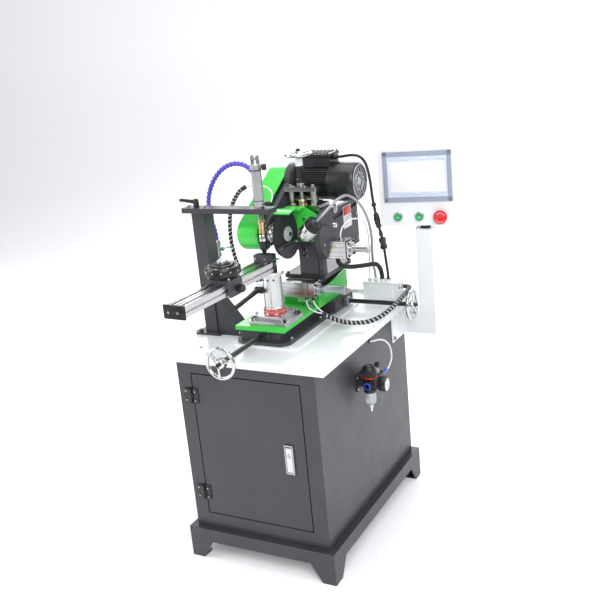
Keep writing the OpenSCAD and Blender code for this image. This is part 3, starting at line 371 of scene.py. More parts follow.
def add_block(shape, low, high, place=Matrix.Identity(4), chamfer=0.0):
    """Adds a box between two corners, with its edges chamfered."""
    made = bmesh.ops.create_cube(shape, size=1.0)["verts"]
    size = Vector(high) - Vector(low)
    middle = (Vector(high) + Vector(low)) / 2
    for v in made:
        v.co = Vector((v.co.x * size.x, v.co.y * size.y, v.co.z * size.z)) + middle
    if chamfer:
        edges = list({e for v in made for e in v.link_edges})
        out = bmesh.ops.bevel(shape, geom=edges, offset=chamfer, segments=2, affect="EDGES", profile=0.7)
        made = list({v for f in out["faces"] for v in f.verts} | {v for v in made if v.is_valid})
    bmesh.ops.transform(shape, matrix=place, verts=made)


def along(axis, at, spin=0.0):
    """A place whose local Z points along an axis."""
    turn = Vector(axis).normalized().to_track_quat("Z", "Y").to_matrix().to_4x4()
    return Matrix.Translation(Vector(at)) @ turn @ Matrix.Rotation(spin, 4, "Z")


def smooth_route(points, step):
    """A curve through the points, as evenly spaced points with the given step."""
    pts = [Vector(p) for p in points]
    pts = [2 * pts[0] - pts[1]] + pts + [2 * pts[-1] - pts[-2]]
    dense = []
    for a, b, c, d in zip(pts, pts[1:], pts[2:], pts[3:]):
        n = max(2, math.ceil((c - b).length / (step * 0.34)))
        for k in range(n):
            t = k / n
            dense.append(0.5 * ((2 * b) + (c - a) * t + (2 * a - 5 * b + 4 * c - d) * t * t
                                + (3 * b - a - 3 * c + d) * t ** 3))
    dense.append(pts[-2])
    total = sum((b - a).length for a, b in zip(dense, dense[1:]))
    count = max(2, round(total / step))
    out, walked, goal = [dense[0]], 0.0, total / count
    for a, b in zip(dense, dense[1:]):
        gap = (b - a).length
        while len(out) < count and walked + gap >= goal * len(out) - 1e-12:
            out.append(a.lerp(b, (goal * len(out) - walked) / gap))
        walked += gap
    out.append(dense[-1])
    return out


def frames_along(points):
    """Position, side, up and distance at each point, with no twist."""
    rows, side, walked = [], None, 0.0
    for k, p in enumerate(points):
        heading = (points[min(k + 1, len(points) - 1)] - points[max(k - 1, 0)]).normalized()
        if side is None:
            side = heading.cross(Vector((0, 0, 1)) if abs(heading.z) < 0.9 else Vector((1, 0, 0)))
        side = (side - heading * side.dot(heading)).normalized()
        if k:
            walked += (p - points[k - 1]).length
        rows.append((p, side, heading.cross(side), walked))
    return rows


def tube_shape(rows, radius, sides=16, closed=True, inner=None):
    """A tube over frames; radius is a function of distance and angle. Faces below the inner radius take slot 1."""
    shape = bmesh.new()
    rings = []
    for p, side, up, walked in rows:
        rings.append([
            shape.verts.new(p + radius(walked, TAU * k / sides)
                            * (math.cos(TAU * k / sides) * side + math.sin(TAU * k / sides) * up))
            for k in range(sides)
        ])
    for low, high in zip(rings, rings[1:]):
        for k in range(sides):
            j = (k + 1) % sides
            shape.faces.new((low[k], low[j], high[j], high[k]))
    if inner:
        shape.faces.ensure_lookup_table()
        for i, face in enumerate(shape.faces):
            row, k = divmod(i, sides)
            corners = [radius(rows[row + a][3], TAU * ((k + b) % sides) / sides) for a in (0, 1) for b in (0, 1)]
            face.material_index = int(sum(corners) / 4 < inner)
    if closed:
        shape.faces.new(list(reversed(rings[0])))
        shape.faces.new(rings[-1])
    return shape


def in_metres(route):
    return [tuple(c * MM for c in p) for p in route]


def cord(name, route, diameter, slot, bodies, radius=None, step=0.004, sides=16, node=None,
         gap_finish=None, sleeves=()):
    """A free cord along a route. Where it spans several bodies it is cut into one length per joint, and no length is
    attached to a body.
    """
    points = smooth_route(in_metres(route), step)
    rows = frames_along(points)
    radius = radius or (lambda walked, angle: diameter / 2)
    spans = max(1, len(bodies) - 1)
    made = []
    for k in range(spans):
        first, last = (round(len(rows) * s / spans) for s in (k, k + 1))
        part = rows[first:min(last + 1, len(rows))]
        tag = name if spans == 1 else f"{name}_{k + 1}"
        body = bodies[0] if len(bodies) == 1 else None
        inner = 0.42 * diameter if gap_finish else None
        piece = piece_from(tube_shape(part, radius, sides, closed=False, inner=inner), tag, body, slot, angle=80)
        if gap_finish:
            piece.data.materials.append(finish_of(gap_finish))
        if node:
            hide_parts(node)
        if len(bodies) > 1:
            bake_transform(piece)
        for i, (low, high, half) in enumerate(sleeves):
            inside = [r for r in part if low - 1e-6 <= r[3] <= high + 1e-6]
            if len(inside) < 3:
                continue
            first_at, last_at = inside[0][3], inside[-1][3]

            def wrap(walked, angle, half=half, a=first_at, b=last_at):
                end = min(1.0, (min(walked - a, b - walked) + 0.001) / 0.004)
                wave = 0.10 * math.sin(2 * angle + 190 * walked) + 0.07 * math.sin(5 * angle - 310 * walked)
                return diameter / 2 + (half * (1 + wave) - diameter / 2) * max(0.15, end) ** 0.5
            over = piece_from(tube_shape(inside, wrap, 20), f"{tag}_sleeve_{i + 1}", body, slot, angle=50,
                              finish=finish_of("tape"))
            if len(bodies) > 1:
                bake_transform(over)
        made.append(piece)
    return made


# ---------------------------------------------------------------- cords, hoses and tubes

COOLANT_ROUTE = [
    (-220, -24, 862), (-220, -24, 876), (-224, -23, 896), (-231, -21, 920), (-235, -20, 948),
    (-233, -20, 978), (-223, -20, 1008), (-206, -20, 1036), (-185, -20, 1058), (-162, -20, 1073),
    (-138, -20, 1080), (-114, -21, 1080), (-92, -25, 1074), (-73, -32, 1063),
    (-58, -41, 1048), (-48, -49, 1030), (-44, -54, 1012), (-44, -54, 998),
]
BUNDLE_LEFT_ROUTE = [
    (-117, -2, 1012), (-138, 2, 1000), (-158, 6, 980), (-174, 10, 958), (-186, 13, 932),
    (-193, 15, 904), (-196, 16, 874), (-196, 16, 844), (-192, 16, 814), (-185, 14, 788),
    (-174, 8, 766), (-158, 2, 750), (-140, 0, 740), (-124, 3, 736), (-113, 14, 735),
    (-108, 30, 732), (-108, 48, 722), (-111, 66, 706), (-115, 82, 686), (-120, 95, 664),
    (-126, 105, 642), (-130, 112, 622), (-130, 112, 606),
]
BUNDLE_RIGHT_ROUTE = [
    (98, -8, 652), (112, 0, 640), (128, 10, 630), (146, 20, 622), (166, 28, 618),
    (186, 36, 617), (206, 46, 618), (224, 60, 622), (238, 80, 628), (248, 104, 635),
    (255, 130, 642), (260, 158, 649), (262, 186, 654), (261, 214, 657), (257, 242, 657),
    (250, 268, 654), (240, 290, 649), (226, 303, 646), (223, 304, 645), (212, 304, 645),
]
MOTOR_CABLE_ROUTE = [
    (103, 150, 1068), (115, 150, 1068), (131, 151, 1070), (148, 153, 1071), (163, 157, 1068),
    (174, 163, 1058), (180, 170, 1042), (182, 178, 1020), (181, 188, 996), (178, 200, 970),
    (174, 213, 944), (171, 226, 916), (170, 238, 886), (170, 249, 856), (172, 260, 824),
    (173, 270, 792), (173, 279, 760), (172, 288, 728), (170, 298, 702), (168, 306, 682),
    (168, 306, 666),
]
POWER_HOSE_ROUTE = [
    (98, 112, 784), (98, 112, 773), (101, 119, 761), (108, 132, 752), (116, 149, 746),
    (124, 167, 742), (131, 185, 739), (137, 203, 736), (142, 221, 733), (146, 239, 730),
    (148, 256, 726), (149, 270, 720), (149, 283, 711), (149, 294, 700), (148, 302, 688),
    (148, 306, 676), (148, 306, 666),
]
GOOSENECK_ROUTE = [
    (122, -46, 928), (131, -46, 937), (140, -43, 946), (148, -36, 955), (154, -26, 963),
    (159, -12, 970), (163, 6, 976), (167, 25, 979), (171, 46, 979), (177, 68, 969),
    (182, 90, 953), (185, 112, 932), (185, 134, 907), (183, 155, 880), (178, 176, 852),
    (170, 198, 824), (160, 220, 795), (149, 242, 765), (139, 264, 737), (131, 284, 713),
    (127, 299, 696), (126, 306, 681), (126, 306, 668),
]
REGULATOR_TUBE_ROUTE = [
    (204, 42, 561), (214, 42, 561), (222, 50, 561), (229, 62, 560), (235, 76, 555),
    (240, 88, 546), (244, 98, 533), (246, 104, 518), (247, 106, 502), (247, 102, 487),
    (246, 92, 476), (246, 78, 470), (246, 64, 470),
]
CLAMP_TUBE_ROUTE = [
    (6, -97, 986), (6, -86, 986), (5, -74, 989), (0, -60, 996), (-8, -46, 1006),
    (-22, -36, 1014), (-40, -28, 1018), (-60, -20, 1019), (-80, -12, 1018), (-98, -6, 1015),
    (-114, -2, 1013),
]
FEED_TUBE_A_ROUTE = [
    (40, 6, 685), (40, 6, 679), (44, 1, 672), (54, -8, 665), (68, -12, 660), (82, -12, 656),
    (95, -11, 654),
]
FEED_TUBE_B_ROUTE = [
    (62, 6, 686), (62, 6, 681), (67, 4, 674), (76, 0, 667), (87, -4, 660), (98, -5, 654),
]
STROKE_TUBE_ROUTE = [
    (140, 54, 856), (140, 54, 868), (143, 60, 883), (149, 73, 895), (157, 92, 901),
    (165, 116, 898), (169, 142, 885), (168, 168, 862), (162, 192, 836), (152, 216, 806),
    (141, 240, 774), (129, 264, 740), (117, 286, 708), (108, 301, 684), (106, 306, 674), (106, 306, 664),
]
HEAD_TO_FRAME = ["head", "lift_slide", "cross_slide", "frame"]


def segmented(radius, pitch, depth):
    """Ball-jointed hose: each link bulges between its joints."""
    def at(walked, angle):
        phase = walked / pitch % 1.0
        ball = math.sin(math.pi * min(1.0, phase / 0.62)) ** 0.5 if phase < 0.62 else 0.0
        return radius * (1 - depth + depth * max(ball, 0.35 * (phase > 0.62)))
    return at


def corrugated(radius, pitch, depth):
    return lambda walked, angle: radius * (1 - depth * 0.5 * (1 - math.cos(TAU * walked / pitch)))


def spiral_wrapped(radius, pitch, depth):
    """A flat band wound round a bundle, with a gap at each turn."""
    def at(walked, angle):
        phase = (walked / pitch - angle / TAU) % 1.0
        return radius * (1.0 if phase < 0.72 else 1.0 - depth)
    return at


def make_cords():
    cord("coolant_hose", COOLANT_ROUTE, 0.015, "blue_hose", ["frame"], segmented(0.0075, 0.0122, 0.42),
         step=0.0012, sides=20, node="coolant_hose")
    for side, route, diameter in (("left", BUNDLE_LEFT_ROUTE, 0.012), ("right", BUNDLE_RIGHT_ROUTE, 0.013)):
        cord(f"air_bundle_{side}", route, diameter, "black_hose", ["frame"],
             spiral_wrapped(diameter / 2, 0.0125, 0.30), step=0.0011, sides=20, node="air_bundles", gap_finish="clear_tube")
    cord("lamp_gooseneck", GOOSENECK_ROUTE, 0.008, "grey_hose", ["frame"], corrugated(0.004, 0.0036, 0.16),
         step=0.0009, sides=14, node="lamp_gooseneck")
    cord("motor_cable", MOTOR_CABLE_ROUTE, 0.008, "black_hose", HEAD_TO_FRAME, node="head_cables", step=0.002,
         sleeves=[(0.232, 0.244, 0.0075), (0.268, 0.318, 0.0085), (0.330, 0.348, 0.0065), (0.352, 0.392, 0.0100)])
    cord("power_hose", POWER_HOSE_ROUTE, 0.014, "black_hose", HEAD_TO_FRAME, corrugated(0.007, 0.0042, 0.13),
         step=0.00105, sides=20, node="head_cables")
    cord("stroke_tube", STROKE_TUBE_ROUTE, 0.004, "clear_tube", HEAD_TO_FRAME, sides=12, node="air_tubes")
    for tag, route in (("a", FEED_TUBE_A_ROUTE), ("b", FEED_TUBE_B_ROUTE)):
        cord(f"feed_tube_{tag}", route, 0.004, "clear_tube", ["cross_slide", "frame"], sides=12, node="air_tubes")
    cord("clamp_tube", CLAMP_TUBE_ROUTE, 0.004, "clear_tube", ["frame"], sides=12, node="air_tubes")
    cord("regulator_tube", REGULATOR_TUBE_ROUTE, 0.005, "clear_tube", ["frame"], sides=12, node="air_tubes")


# ---------------------------------------------------------------- solid parts, in millimetres

def turned(profile, axis, at, sides=40, spin=0.0, loop=False):
    """A turned solid; profile is (radius, distance along the axis) pairs. A loop joins the last ring to the first."""
    def add(shape):
        place = along(axis, at, spin)
        if not loop:
            add_lathe(shape, profile, place, sides)
            return
        rings = [[shape.verts.new(place @ Vector((r * math.cos(TAU * k / sides), r * math.sin(TAU * k / sides), h)))
                  for k in range(sides)] for r, h in profile]
        for low, high in zip(rings, rings[1:] + rings[:1]):
            for k in range(sides):
                j = (k + 1) % sides
                shape.faces.new((low[k], low[j], high[j], high[k]))
    return add


def rod(radius, length, axis, at, edge=0.6, sides=32):
    """A plain turned pin with chamfered ends."""
    return turned([(radius - edge, 0), (radius, edge), (radius, length - edge), (radius - edge, length)],
                  axis, at, sides)


def torus(ring, tube, axis, at, sides=64, around=14):
    """A round ring."""
    loop = [(ring + tube * math.cos(TAU * k / around), tube * math.sin(TAU * k / around)) for k in range(around)]
    return turned(loop, axis, at, sides, loop=True)


def block(low, high, chamfer=0.8):
    return lambda shape: add_block(shape, low, high, chamfer=chamfer)


def loft(rings, loop=False):
    """Joins outlines that have the same number of points, and caps the ends unless it is a loop."""
    def add(shape):
        made = [[shape.verts.new(p) for p in ring] for ring in rings]
        for low, high in zip(made, made[1:] + (made[:1] if loop else [])):
            for k in range(len(low)):
                j = (k + 1) % len(low)
                shape.faces.new((low[k], low[j], high[j], high[k]))
        if not loop:
            shape.faces.new(made[0])
            shape.faces.new(made[-1])
    return add


def plate(outline, low, high, axis="X"):
    """A flat outline given thickness along an axis."""
    turn = {"X": lambda u, v, w: (w, u, v), "Y": lambda u, v, w: (u, w, v), "Z": lambda u, v, w: (u, v, w)}[axis]
    return loft([[turn(u, v, w) for u, v in outline] for w in (low, high)])


def bar(points, halves, sides=16, square=0.55):
    """A bar through points, with half widths at each; square 1 is an ellipse and less is boxier."""
    rows = frames_along([Vector(p) for p in points])

    def rounded(x):
        return math.copysign(abs(x) ** square, x)

    return loft([[p + rounded(math.cos(TAU * k / sides)) * a * side + rounded(math.sin(TAU * k / sides)) * b * up
                  for k in range(sides)] for (p, side, up, _), (a, b) in zip(rows, halves)])


def cap_screw(at, axis, d=5.0):
    """Socket head screw, seen from outside."""
    r = 0.8 * d
    return turned([(r, 0), (r, 0.8 * d), (0.88 * r, d), (0.5 * r, d), (0.5 * r, 0.5 * d), (0, 0.5 * d)], axis, at, 18)


def dome_screw(at, axis, d=4.0):
    """Button head screw with a socket."""
    r = 0.95 * d
    return turned([(r, 0), (r, 0.12 * d), (0.8 * r, 0.45 * d), (0.45 * r, 0.6 * d), (0.32 * r, 0.6 * d),
                   (0.32 * r, 0.25 * d), (0, 0.25 * d)], axis, at, 18)


def hex_bolt(at, axis, d=8.0, spin=0.3):
    """Hexagon head on a washer."""
    washer = turned([(1.05 * d, 0), (1.05 * d, 0.18 * d)], axis, at, 28)
    head = turned([(0.86 * d, 0.18 * d), (0.86 * d, 0.72 * d), (0.72 * d, 0.85 * d)], axis, at, 6, spin)

    def add(shape):
        washer(shape)
        head(shape)
    return add


def knurled(radius, low, high, axis, at, teeth=30, depth=1.2):
    """A ribbed grip."""
    def ring(h, r_out):
        place = along(axis, at)
        return [place @ Vector(((r_out - depth * (k % 4 > 1)) * math.cos(TAU * k / (4 * teeth)),
                                (r_out - depth * (k % 4 > 1)) * math.sin(TAU * k / (4 * teeth)), h))
                for k in range(4 * teeth)]
    return loft([ring(low, radius - 1), ring(low + 1, radius), ring(high - 1, radius), ring(high, radius - 1)])


def solid(name, body, slot, *parts, finish=None, angle=35.0, bevel=0.0, node=(), place=None):
    """One piece made of parts drawn in millimetres."""
    shape = bmesh.new()
    for add in parts:
        add(shape)
    if place:
        bmesh.ops.transform(shape, matrix=place, verts=shape.verts)
    bmesh.ops.scale(shape, vec=(MM, MM, MM), verts=shape.verts)
    piece = piece_from(shape, name, body, slot, angle=angle, bevel=bevel, finish=finish and finish_of(finish))
    if node:
        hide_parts(*([node] if isinstance(node, str) else node))
    return piece


SUPPORT_YAW = math.radians(-3)
SUPPORT = Matrix.Translation((-10, -90, 0)) @ Matrix.Rotation(SUPPORT_YAW, 4, "Z")
PANEL = Matrix.Translation((307, 281, 848)) @ Matrix.Rotation(math.radians(9), 4, "Z")
PIVOT_Y, PIVOT_Z = 96, 931
SPINDLE = (-36, 888)
MOTOR = (150, 998)
FRONT_Y = -305.5
TRAY_Z = 600
LEFT, RIGHT, OUT, BACK, UP, DOWN = (-1, 0, 0), (1, 0, 0), (0, -1, 0), (0, 1, 0), (0, 0, 1), (0, 0, -1)


def yz(x, at):
    return (x, at[0], at[1])


# ---------------------------------------------------------------- cabinet, door and tray

def make_cabinet():
    solid("door_frame_seam", "frame", "dark_paint",
          plate([(-210, 92), (-169, 92), (-169, 94), (-210, 94)], FRONT_Y - 0.6, FRONT_Y - 0.2, "Y"))
    for z in (205, 499):
        solid(f"hinge_screws_{z}_left", "frame", "steel",
              *[dome_screw((-187, FRONT_Y - 4.8, z + dz), OUT, 3.4) for dz in (-13, 13)])
        solid(f"hinge_screws_{z}_right", "door", "steel",
              *[dome_screw((-159, FRONT_Y - 4.8, z + dz), OUT, 3.4) for dz in (-13, 13)])
    solid("latch_face", "latch", "chrome", block((106.8, FRONT_Y - 4.2, 313), (124.2, FRONT_Y - 2.6, 381.5), 1.0),
          torus(6.2, 0.7, OUT, (115.5, FRONT_Y - 4.2, 360), 32, 8))
    solid("latch_key", "latch", "steel", rod(5.6, 1.8, OUT, (115.5, FRONT_Y - 4.0, 360), 0.5, 28),
          block((114.9, FRONT_Y - 6.4, 356.8), (116.1, FRONT_Y - 5.4, 363.2), 0.1))
    rivets = [(104.2, 310), (126.8, 310), (104.2, 386), (126.8, 386)]
    solid("latch_rivets", "door", "steel",
          *[turned([(1.6, 0), (1.5, 0.5), (0.8, 0.9), (0, 1)], OUT, (x, FRONT_Y - 4, z), 12) for x, z in rivets])
    solid("door_stiffener", "door", "dark_paint",
          block((-150, FRONT_Y + 2.6, 160), (-130, FRONT_Y + 14, 545), 1),
          block((130, FRONT_Y + 2.6, 160), (150, FRONT_Y + 14, 300), 1))
    holes = [(-255, -290), (222, -290), (222, 335), (-255, 335), (222, 60), (-190, -210)]
    solid("tray_screws", "frame", "steel", *[dome_screw((x, y, TRAY_Z), UP, 5) for x, y in holes])
    solid("tray_bead", "frame", "white_paint",
          bar([(-284, -308.4, 613), (0, -308.4, 613), (236.5, -308.4, 613)], [(1.7, 1.2)] * 3, 12),
          bar([(236.5, -308.4, 613), (236.5, 0, 613), (236.5, 350.4, 613)], [(1.7, 1.2)] * 3, 12),
          bar([(-284, 350.4, 613), (0, 350.4, 613), (236.5, 350.4, 613)], [(1.7, 1.2)] * 3, 12))
    solid("bundle_grommet", "frame", "rubber",
          turned([(14, 0), (14, 2), (11, 5), (9.2, 6.4), (6.2, 6.4), (6.2, 0)], UP, (-130, 112, TRAY_Z), 32, loop=True))
    solid("wall_grommet", "frame", "rubber", rod(6, 3, RIGHT, (209, 42, 561), 0.8, 24))
    feet = [(x, y) for x in (-1, 1) for y in (-1, 1)]
    solid("foot_bolts", "frame", "black_metal", *[hex_bolt((x * 209, y * 304, 3), UP, 7) for x, y in feet])


def make_bed():
    spots = [(-98, -120), (-98, 20), (50, -120), (50, 60), (-98, 200)]
    solid("bed_bolts", "frame", "steel", *[cap_screw((x, y, 613), UP, 7) for x, y in spots])
    solid("front_bearing", "frame", "black_metal",
          turned([(13.5, 0), (13.5, 7), (12.2, 8.5), (9, 8.5), (9, 0)], OUT, (-20, -152, 631), 32, loop=True))
    ears = [(-33, 631), (-7, 631)]
    solid("front_bearing_plate", "frame", "bed_paint", block((-42, -154, 618), (2, -150, 643.5), 1.2),
          *[cap_screw((x, -154, z), OUT, 4) for x, z in ears])
    solid("side_bearing_plate", "frame", "bed_paint", block((72, 173, 615), (76, 217, 643.5), 1.2),
          *[cap_screw((76, y, 626), RIGHT, 4) for y in (179, 211)])
    solid("side_bearing", "frame", "zinc",
          turned([(13, 0), (13, 8), (11.6, 9.6), (8, 9.6), (8, 0)], RIGHT, (75, 195, 626), 32, loop=True))
    spots = [(-264, -108), (-264, -44), (-190, -110), (-190, -42)]
    solid("column_foot_bolts", "frame", "steel", *[hex_bolt((x, y, 606), UP, 8) for x, y in spots[:2]],
          *[cap_screw((x, y, 606), UP, 6) for x, y in ((-130, -93), (-130, -59))])
    solid("bar_cap", "frame", "dark_paint", block((-262, -117, 960.4), (-259, -77, 973.6), 0.8),
          block((-242.4, -101.4, 955), (-201.6, -50.6, 960.4), 1.0))
    solid("bar_screws", "frame", "steel", *[cap_screw((x, -97, 974), UP, 6) for x in (-250, -196)])


# ---------------------------------------------------------------- handwheels and levers

def handwheel(name, body, at, axis, diameter, hub, node, spin):
    place = along(axis, at, spin)
    ring, tube = diameter / 2 - 5, 5
    spokes = []
    for k in range(3):
        a = TAU * k / 3
        reach = [(0.55 * hub, 4.5), (0.35 * ring + 0.4 * hub, 3.0), (0.75 * ring, 0.5), (ring - 1.5, 0)]
        widths = [(7.0, 4.0), (5.4, 3.2), (4.4, 2.8), (5.6, 3.0)]
        spokes.append(bar([place @ Vector((r * math.cos(a), r * math.sin(a), h)) for r, h in reach],
                          [(w, t) for w, t in widths], 16, 0.7))
    solid(f"{name}_rim", body, "chrome", torus(ring, tube, axis, at, 72, 18), *spokes, node=node)
    solid(f"{name}_hub", body, "chrome",
          turned([(hub - 3, -9), (hub - 1, -8), (hub - 1, 3), (hub - 3.5, 7), (hub - 5, 9), (8, 9)], axis, at, 40))
    outward = Vector(axis)
    solid(f"{name}_bolt", body, "black_metal", cap_screw(Vector(at) + 8.8 * outward, axis, 7))
    return place


def make_handwheels():
    handwheel("front_wheel", "front_handwheel", (-20, -372, 631), OUT, 90, 16, "front_handwheel", 0.35)
    solid("front_shaft", "front_handwheel", "black_metal", rod(7, 209, BACK, (-20, -371, 631), 0.5, 28),
          turned([(9.5, 0), (9.5, 12), (8.5, 13), (7, 13)], BACK, (-20, -364, 631), 28))
    solid("front_screw", "front_handwheel", "steel",
          *[torus(5.55, 0.5, BACK, (-20, y, 631), 20, 6) for y in range(-100, 14, 4)],
          rod(5.6, 177, BACK, (-20, -162, 631), 0.5, 24))
    handwheel("side_wheel", "side_handwheel", (284, 195, 626), RIGHT, 90, 16, "side_handwheel", 1.2)
    solid("side_shaft", "side_handwheel", "black_metal", rod(7, 198, RIGHT, (85, 195, 626), 0.5, 28),
          turned([(10, 0), (10, 12), (9, 13), (7, 13)], LEFT, (278, 195, 626), 28))
    solid("side_screw", "side_handwheel", "steel", rod(5.9, 154, RIGHT, (-70, 195, 626), 0.5, 24))
    handwheel("lift_wheel", "top_handwheel", (24, 66, 1090), UP, 80, 14, "top_handwheel", 0.5)
    solid("lift_shaft", "top_handwheel", "steel", rod(5.9, 96, UP, (24, 66, 905), 0.5, 24),
          turned([(11.5, 0), (12.6, 1), (12.6, 9), (11.5, 10), (8, 10)], UP, (24, 66, 1000.2), 32))
    solid("lift_sleeve", "top_handwheel", "white_paint",
          turned([(10.2, 0), (10.8, 1), (10.8, 18), (9.6, 21), (7.4, 22)], UP, (24, 66, 1058), 36))
    solid("lift_spindle", "top_handwheel", "black_metal",
          turned([(7, 0), (10.6, 0), (10.6, 9), (7, 10), (7, 46)], UP, (24, 66, 1012), 32),
          *[torus(7.1, 0.8, UP, (24, 66, z), 24, 6) for z in range(1026, 1056, 4)])


def make_levers():
    low = 974.1
    hub = (-224, -97, low)
    a = math.radians(188)
    tip = [(0, 0), (14, 2.5), (32, 5), (46, 6.2), (51, 6.6)]
    solid("bar_lever_body", "bar_lever", "black_plastic",
          turned([(8, 0), (8, 15), (6.8, 22), (4.5, 24), (4.5, 22.5), (0, 22.5)], UP, hub, 32),
          bar([(hub[0] + r * math.cos(a), hub[1] + r * math.sin(a), low + 14 + h) for r, h in tip],
              [(6, 6), (5, 5), (5, 4.6), (5, 4.6), (2.2, 2.2)], 16, 0.85), node="bar_lever")
    solid("bar_lever_screw", "bar_lever", "steel", rod(3.8, 6, UP, (hub[0], hub[1], low + 18), 0.6, 20),
          rod(4.9, 10, UP, (hub[0], hub[1], 964.3), 0.4, 24))
    arm = [(-46, -5, 740), (-46, -22, 738), (-46, -60, 732), (-46, -100, 727), (-46, -124, 724), (-46, -128, 723.4)]
    solid("post_lever_body", "post_lever", "black_plastic",
          turned([(9, 0), (10, 1), (10, 22), (8.6, 25.4), (4.4, 25.4), (4.4, 23), (0, 23)], LEFT, (-29.2, -5, 740), 32),
          bar(arm, [(8, 8), (7.4, 7.2), (6.4, 5.6), (7.2, 6), (6.8, 5.6), (3, 2.6)], 18, 0.8),
          node="post_lever", place=SUPPORT)
    solid("post_lever_screw", "post_lever", "steel", rod(3.6, 2.6, LEFT, (-52, -5, 740), 0.6, 20),
          rod(4.9, 16, LEFT, (-14, -5, 740), 0.5, 24), place=SUPPORT)
    x = 31
    solid("carriage_knob_grip", "carriage_knob", "black_plastic", knurled(10, 3.5, 21, RIGHT, (x, -210, 813), 18, 0.9),
          turned([(9, 0), (7.5, 2.2), (0, 2.8)], RIGHT, (x + 21, -210, 813), 32),
          node="carriage_knob", place=SUPPORT)
    solid("carriage_knob_stud", "carriage_knob", "steel", rod(3.8, 10, RIGHT, (x - 6.5, -210, 813), 0.4, 20),
          place=SUPPORT)


# ---------------------------------------------------------------- blade support

def make_support():
    slots = [-20, 8]
    solid("rail_end_cap", "support", "black_plastic", block((-37, -422, 795.5), (25, -415.6, 830.5), 1.4), place=SUPPORT)
    solid("rail_cap_screws", "support", "steel", *[cap_screw((x, -422, 813), OUT, 4) for x in slots], place=SUPPORT)
    solid("rail_lines", "support", "aluminium",
          *[block((x, -415, 826.2), (x + 1.2, -24, 827.5), 0.3) for x in (-33.6, -26.2, -7.6, -5.6, 13, 20.4)],
          place=SUPPORT)
    rim = [(46.5, 0.6), (46.5, 5), (45.2, 6), (45.2, 8), (46.5, 9), (46.5, 17), (45.6, 18.5), (44, 21), (33, 21),
           (32, 19.4), (30.5, 19.4), (30, 21)]
    solid("arbor_plate", "arbor", "black_metal", turned([(24, 0), (45.6, 0)] + rim, UP, (-6, -210, 849), 72),
          turned([(25, 0), (25, 2.4)], UP, (-6, -210, 846.6), 48),
          node="arbor_disc", place=SUPPORT)
    ring = [(math.cos(TAU * k / 8 + 0.2), math.sin(TAU * k / 8 + 0.2)) for k in range(8)]
    solid("arbor_screws", "arbor", "steel", *[cap_screw((-6 + 38 * c, -210 + 38 * s, 866.6), UP, 4.4) for c, s in ring],
          place=SUPPORT)
    edge = [(math.cos(TAU * k / 12), math.sin(TAU * k / 12)) for k in range(12)]
    solid("arbor_pins", "arbor", "steel",
          *[rod(2.4, 1.4, (c, s, 0), (-6 + 45.6 * c, -210 + 45.6 * s, 860), 0.4, 14) for c, s in edge], place=SUPPORT)
    solid("arbor_steps", "arbor", "steel",
          turned([(30, 0), (30, 3.4), (28.4, 5), (20, 5), (20, 8), (19, 9), (8, 9)], UP, (-6, -210, 870), 60),
          *[rod(2, 1, UP, (-6 + 24.5 * c, -210 + 24.5 * s, 874.6), 0.3, 14) for c, s in ring[::2]],
          place=SUPPORT, finish="dark_steel")
    solid("arbor_pilot", "arbor", "chrome",
          turned([(12.7, 0), (12.7, 5), (11.7, 6), (5, 6), (4.4, 3), (0, 3)], UP, (-6, -210, 879), 48), place=SUPPORT)
    solid("arbor_pivot", "arbor", "steel", rod(8, 10, UP, (-6, -210, 841), 0.4, 32), place=SUPPORT)
    solid("carriage_screws", "carriage", "steel",
          *[cap_screw((x, y, 838), UP, 5) for x in (-36, 24) for y in (-231, -189)],
          *[cap_screw((-43, y, 813), LEFT, 5) for y in (-224, -196)], place=SUPPORT)
    solid("anvil_screws", "support", "steel", *[cap_screw((x, -22, 836), OUT, 4) for x in (-30, 0)],
          *[cap_screw((8, y, 815), RIGHT, 5) for y in (-12, 8)], place=SUPPORT)
    solid("rest_plate", "support", "chrome", block((-36, 3, 840), (6, 19, 842.4), 0.5), place=SUPPORT)
    solid("rest_gasket", "support", "button_green", block((-37, 19.6, 835), (7, 21.2, 841), 0.4),
          block((9, 2, 826), (20, 20, 829), 0.6), place=SUPPORT)
    centre = (-10, -90)
    solid("post_rings", "support", "chrome",
          turned([(27, 0), (28.4, 0.6), (28.4, 5), (27, 6)], UP, (*centre, 692.4), 56),
          turned([(27, 0), (34.4, 5), (34.4, 9.4), (33.6, 10.2), (20, 10.2)], UP, (*centre, 786.6), 56))
    flutes = [(math.cos(a), math.sin(a)) for a in (3.6, 4.2, 4.8, 5.4)]
    solid("post_screws", "support", "black_metal",
          *[rod(3, 0.9, (c, s, 0), (centre[0] + 26.6 * c, centre[1] + 26.6 * s, 776), 0.3, 16) for c, s in flutes])
    ticks = [math.radians(a) for a in range(180, 361, 10)]
    solid("scale_ring", "table", "stop_red",
          turned([(31, 0), (31.6, 0.5), (31.6, 9.6), (30.8, 10.4), (27.6, 10.4)], UP, (*centre, 681.2), 72),
          finish="red_ring")
    solid("scale_ticks", "table", "white_paint",
          *[bar([(centre[0] + 31.5 * math.cos(a), centre[1] + 31.5 * math.sin(a), 683.4),
                 (centre[0] + 31.5 * math.cos(a), centre[1] + 31.5 * math.sin(a), 688.6 + 1.6 * (k % 2))],
                [(0.5, 0.5)] * 2, 8) for k, a in enumerate(ticks)], finish="white_mark")
    corners = [(-52, -142), (46, -142), (-52, -60), (46, -60)]
    solid("swivel_bolts", "table", "black_metal", *[cap_screw((x, y, 669), UP, 7) for x, y in corners])
    inner = [(-52, -120), (32, -124), (-48, -66), (34, -66)]
    solid("swivel_screws", "table", "steel", *[cap_screw((x, y, 680), UP, 5) for x, y in inner])
    solid("table_bolts", "table", "steel", *[cap_screw((x, y, 657), UP, 6) for x, y in ((-82, 28), (40, 28), (-82, -20))])
    solid("table_mark", "table", "white_paint", block((-88, -157, 657), (-56, -149, 657.5), 0.1), finish="white_mark")


# ---------------------------------------------------------------- clamp

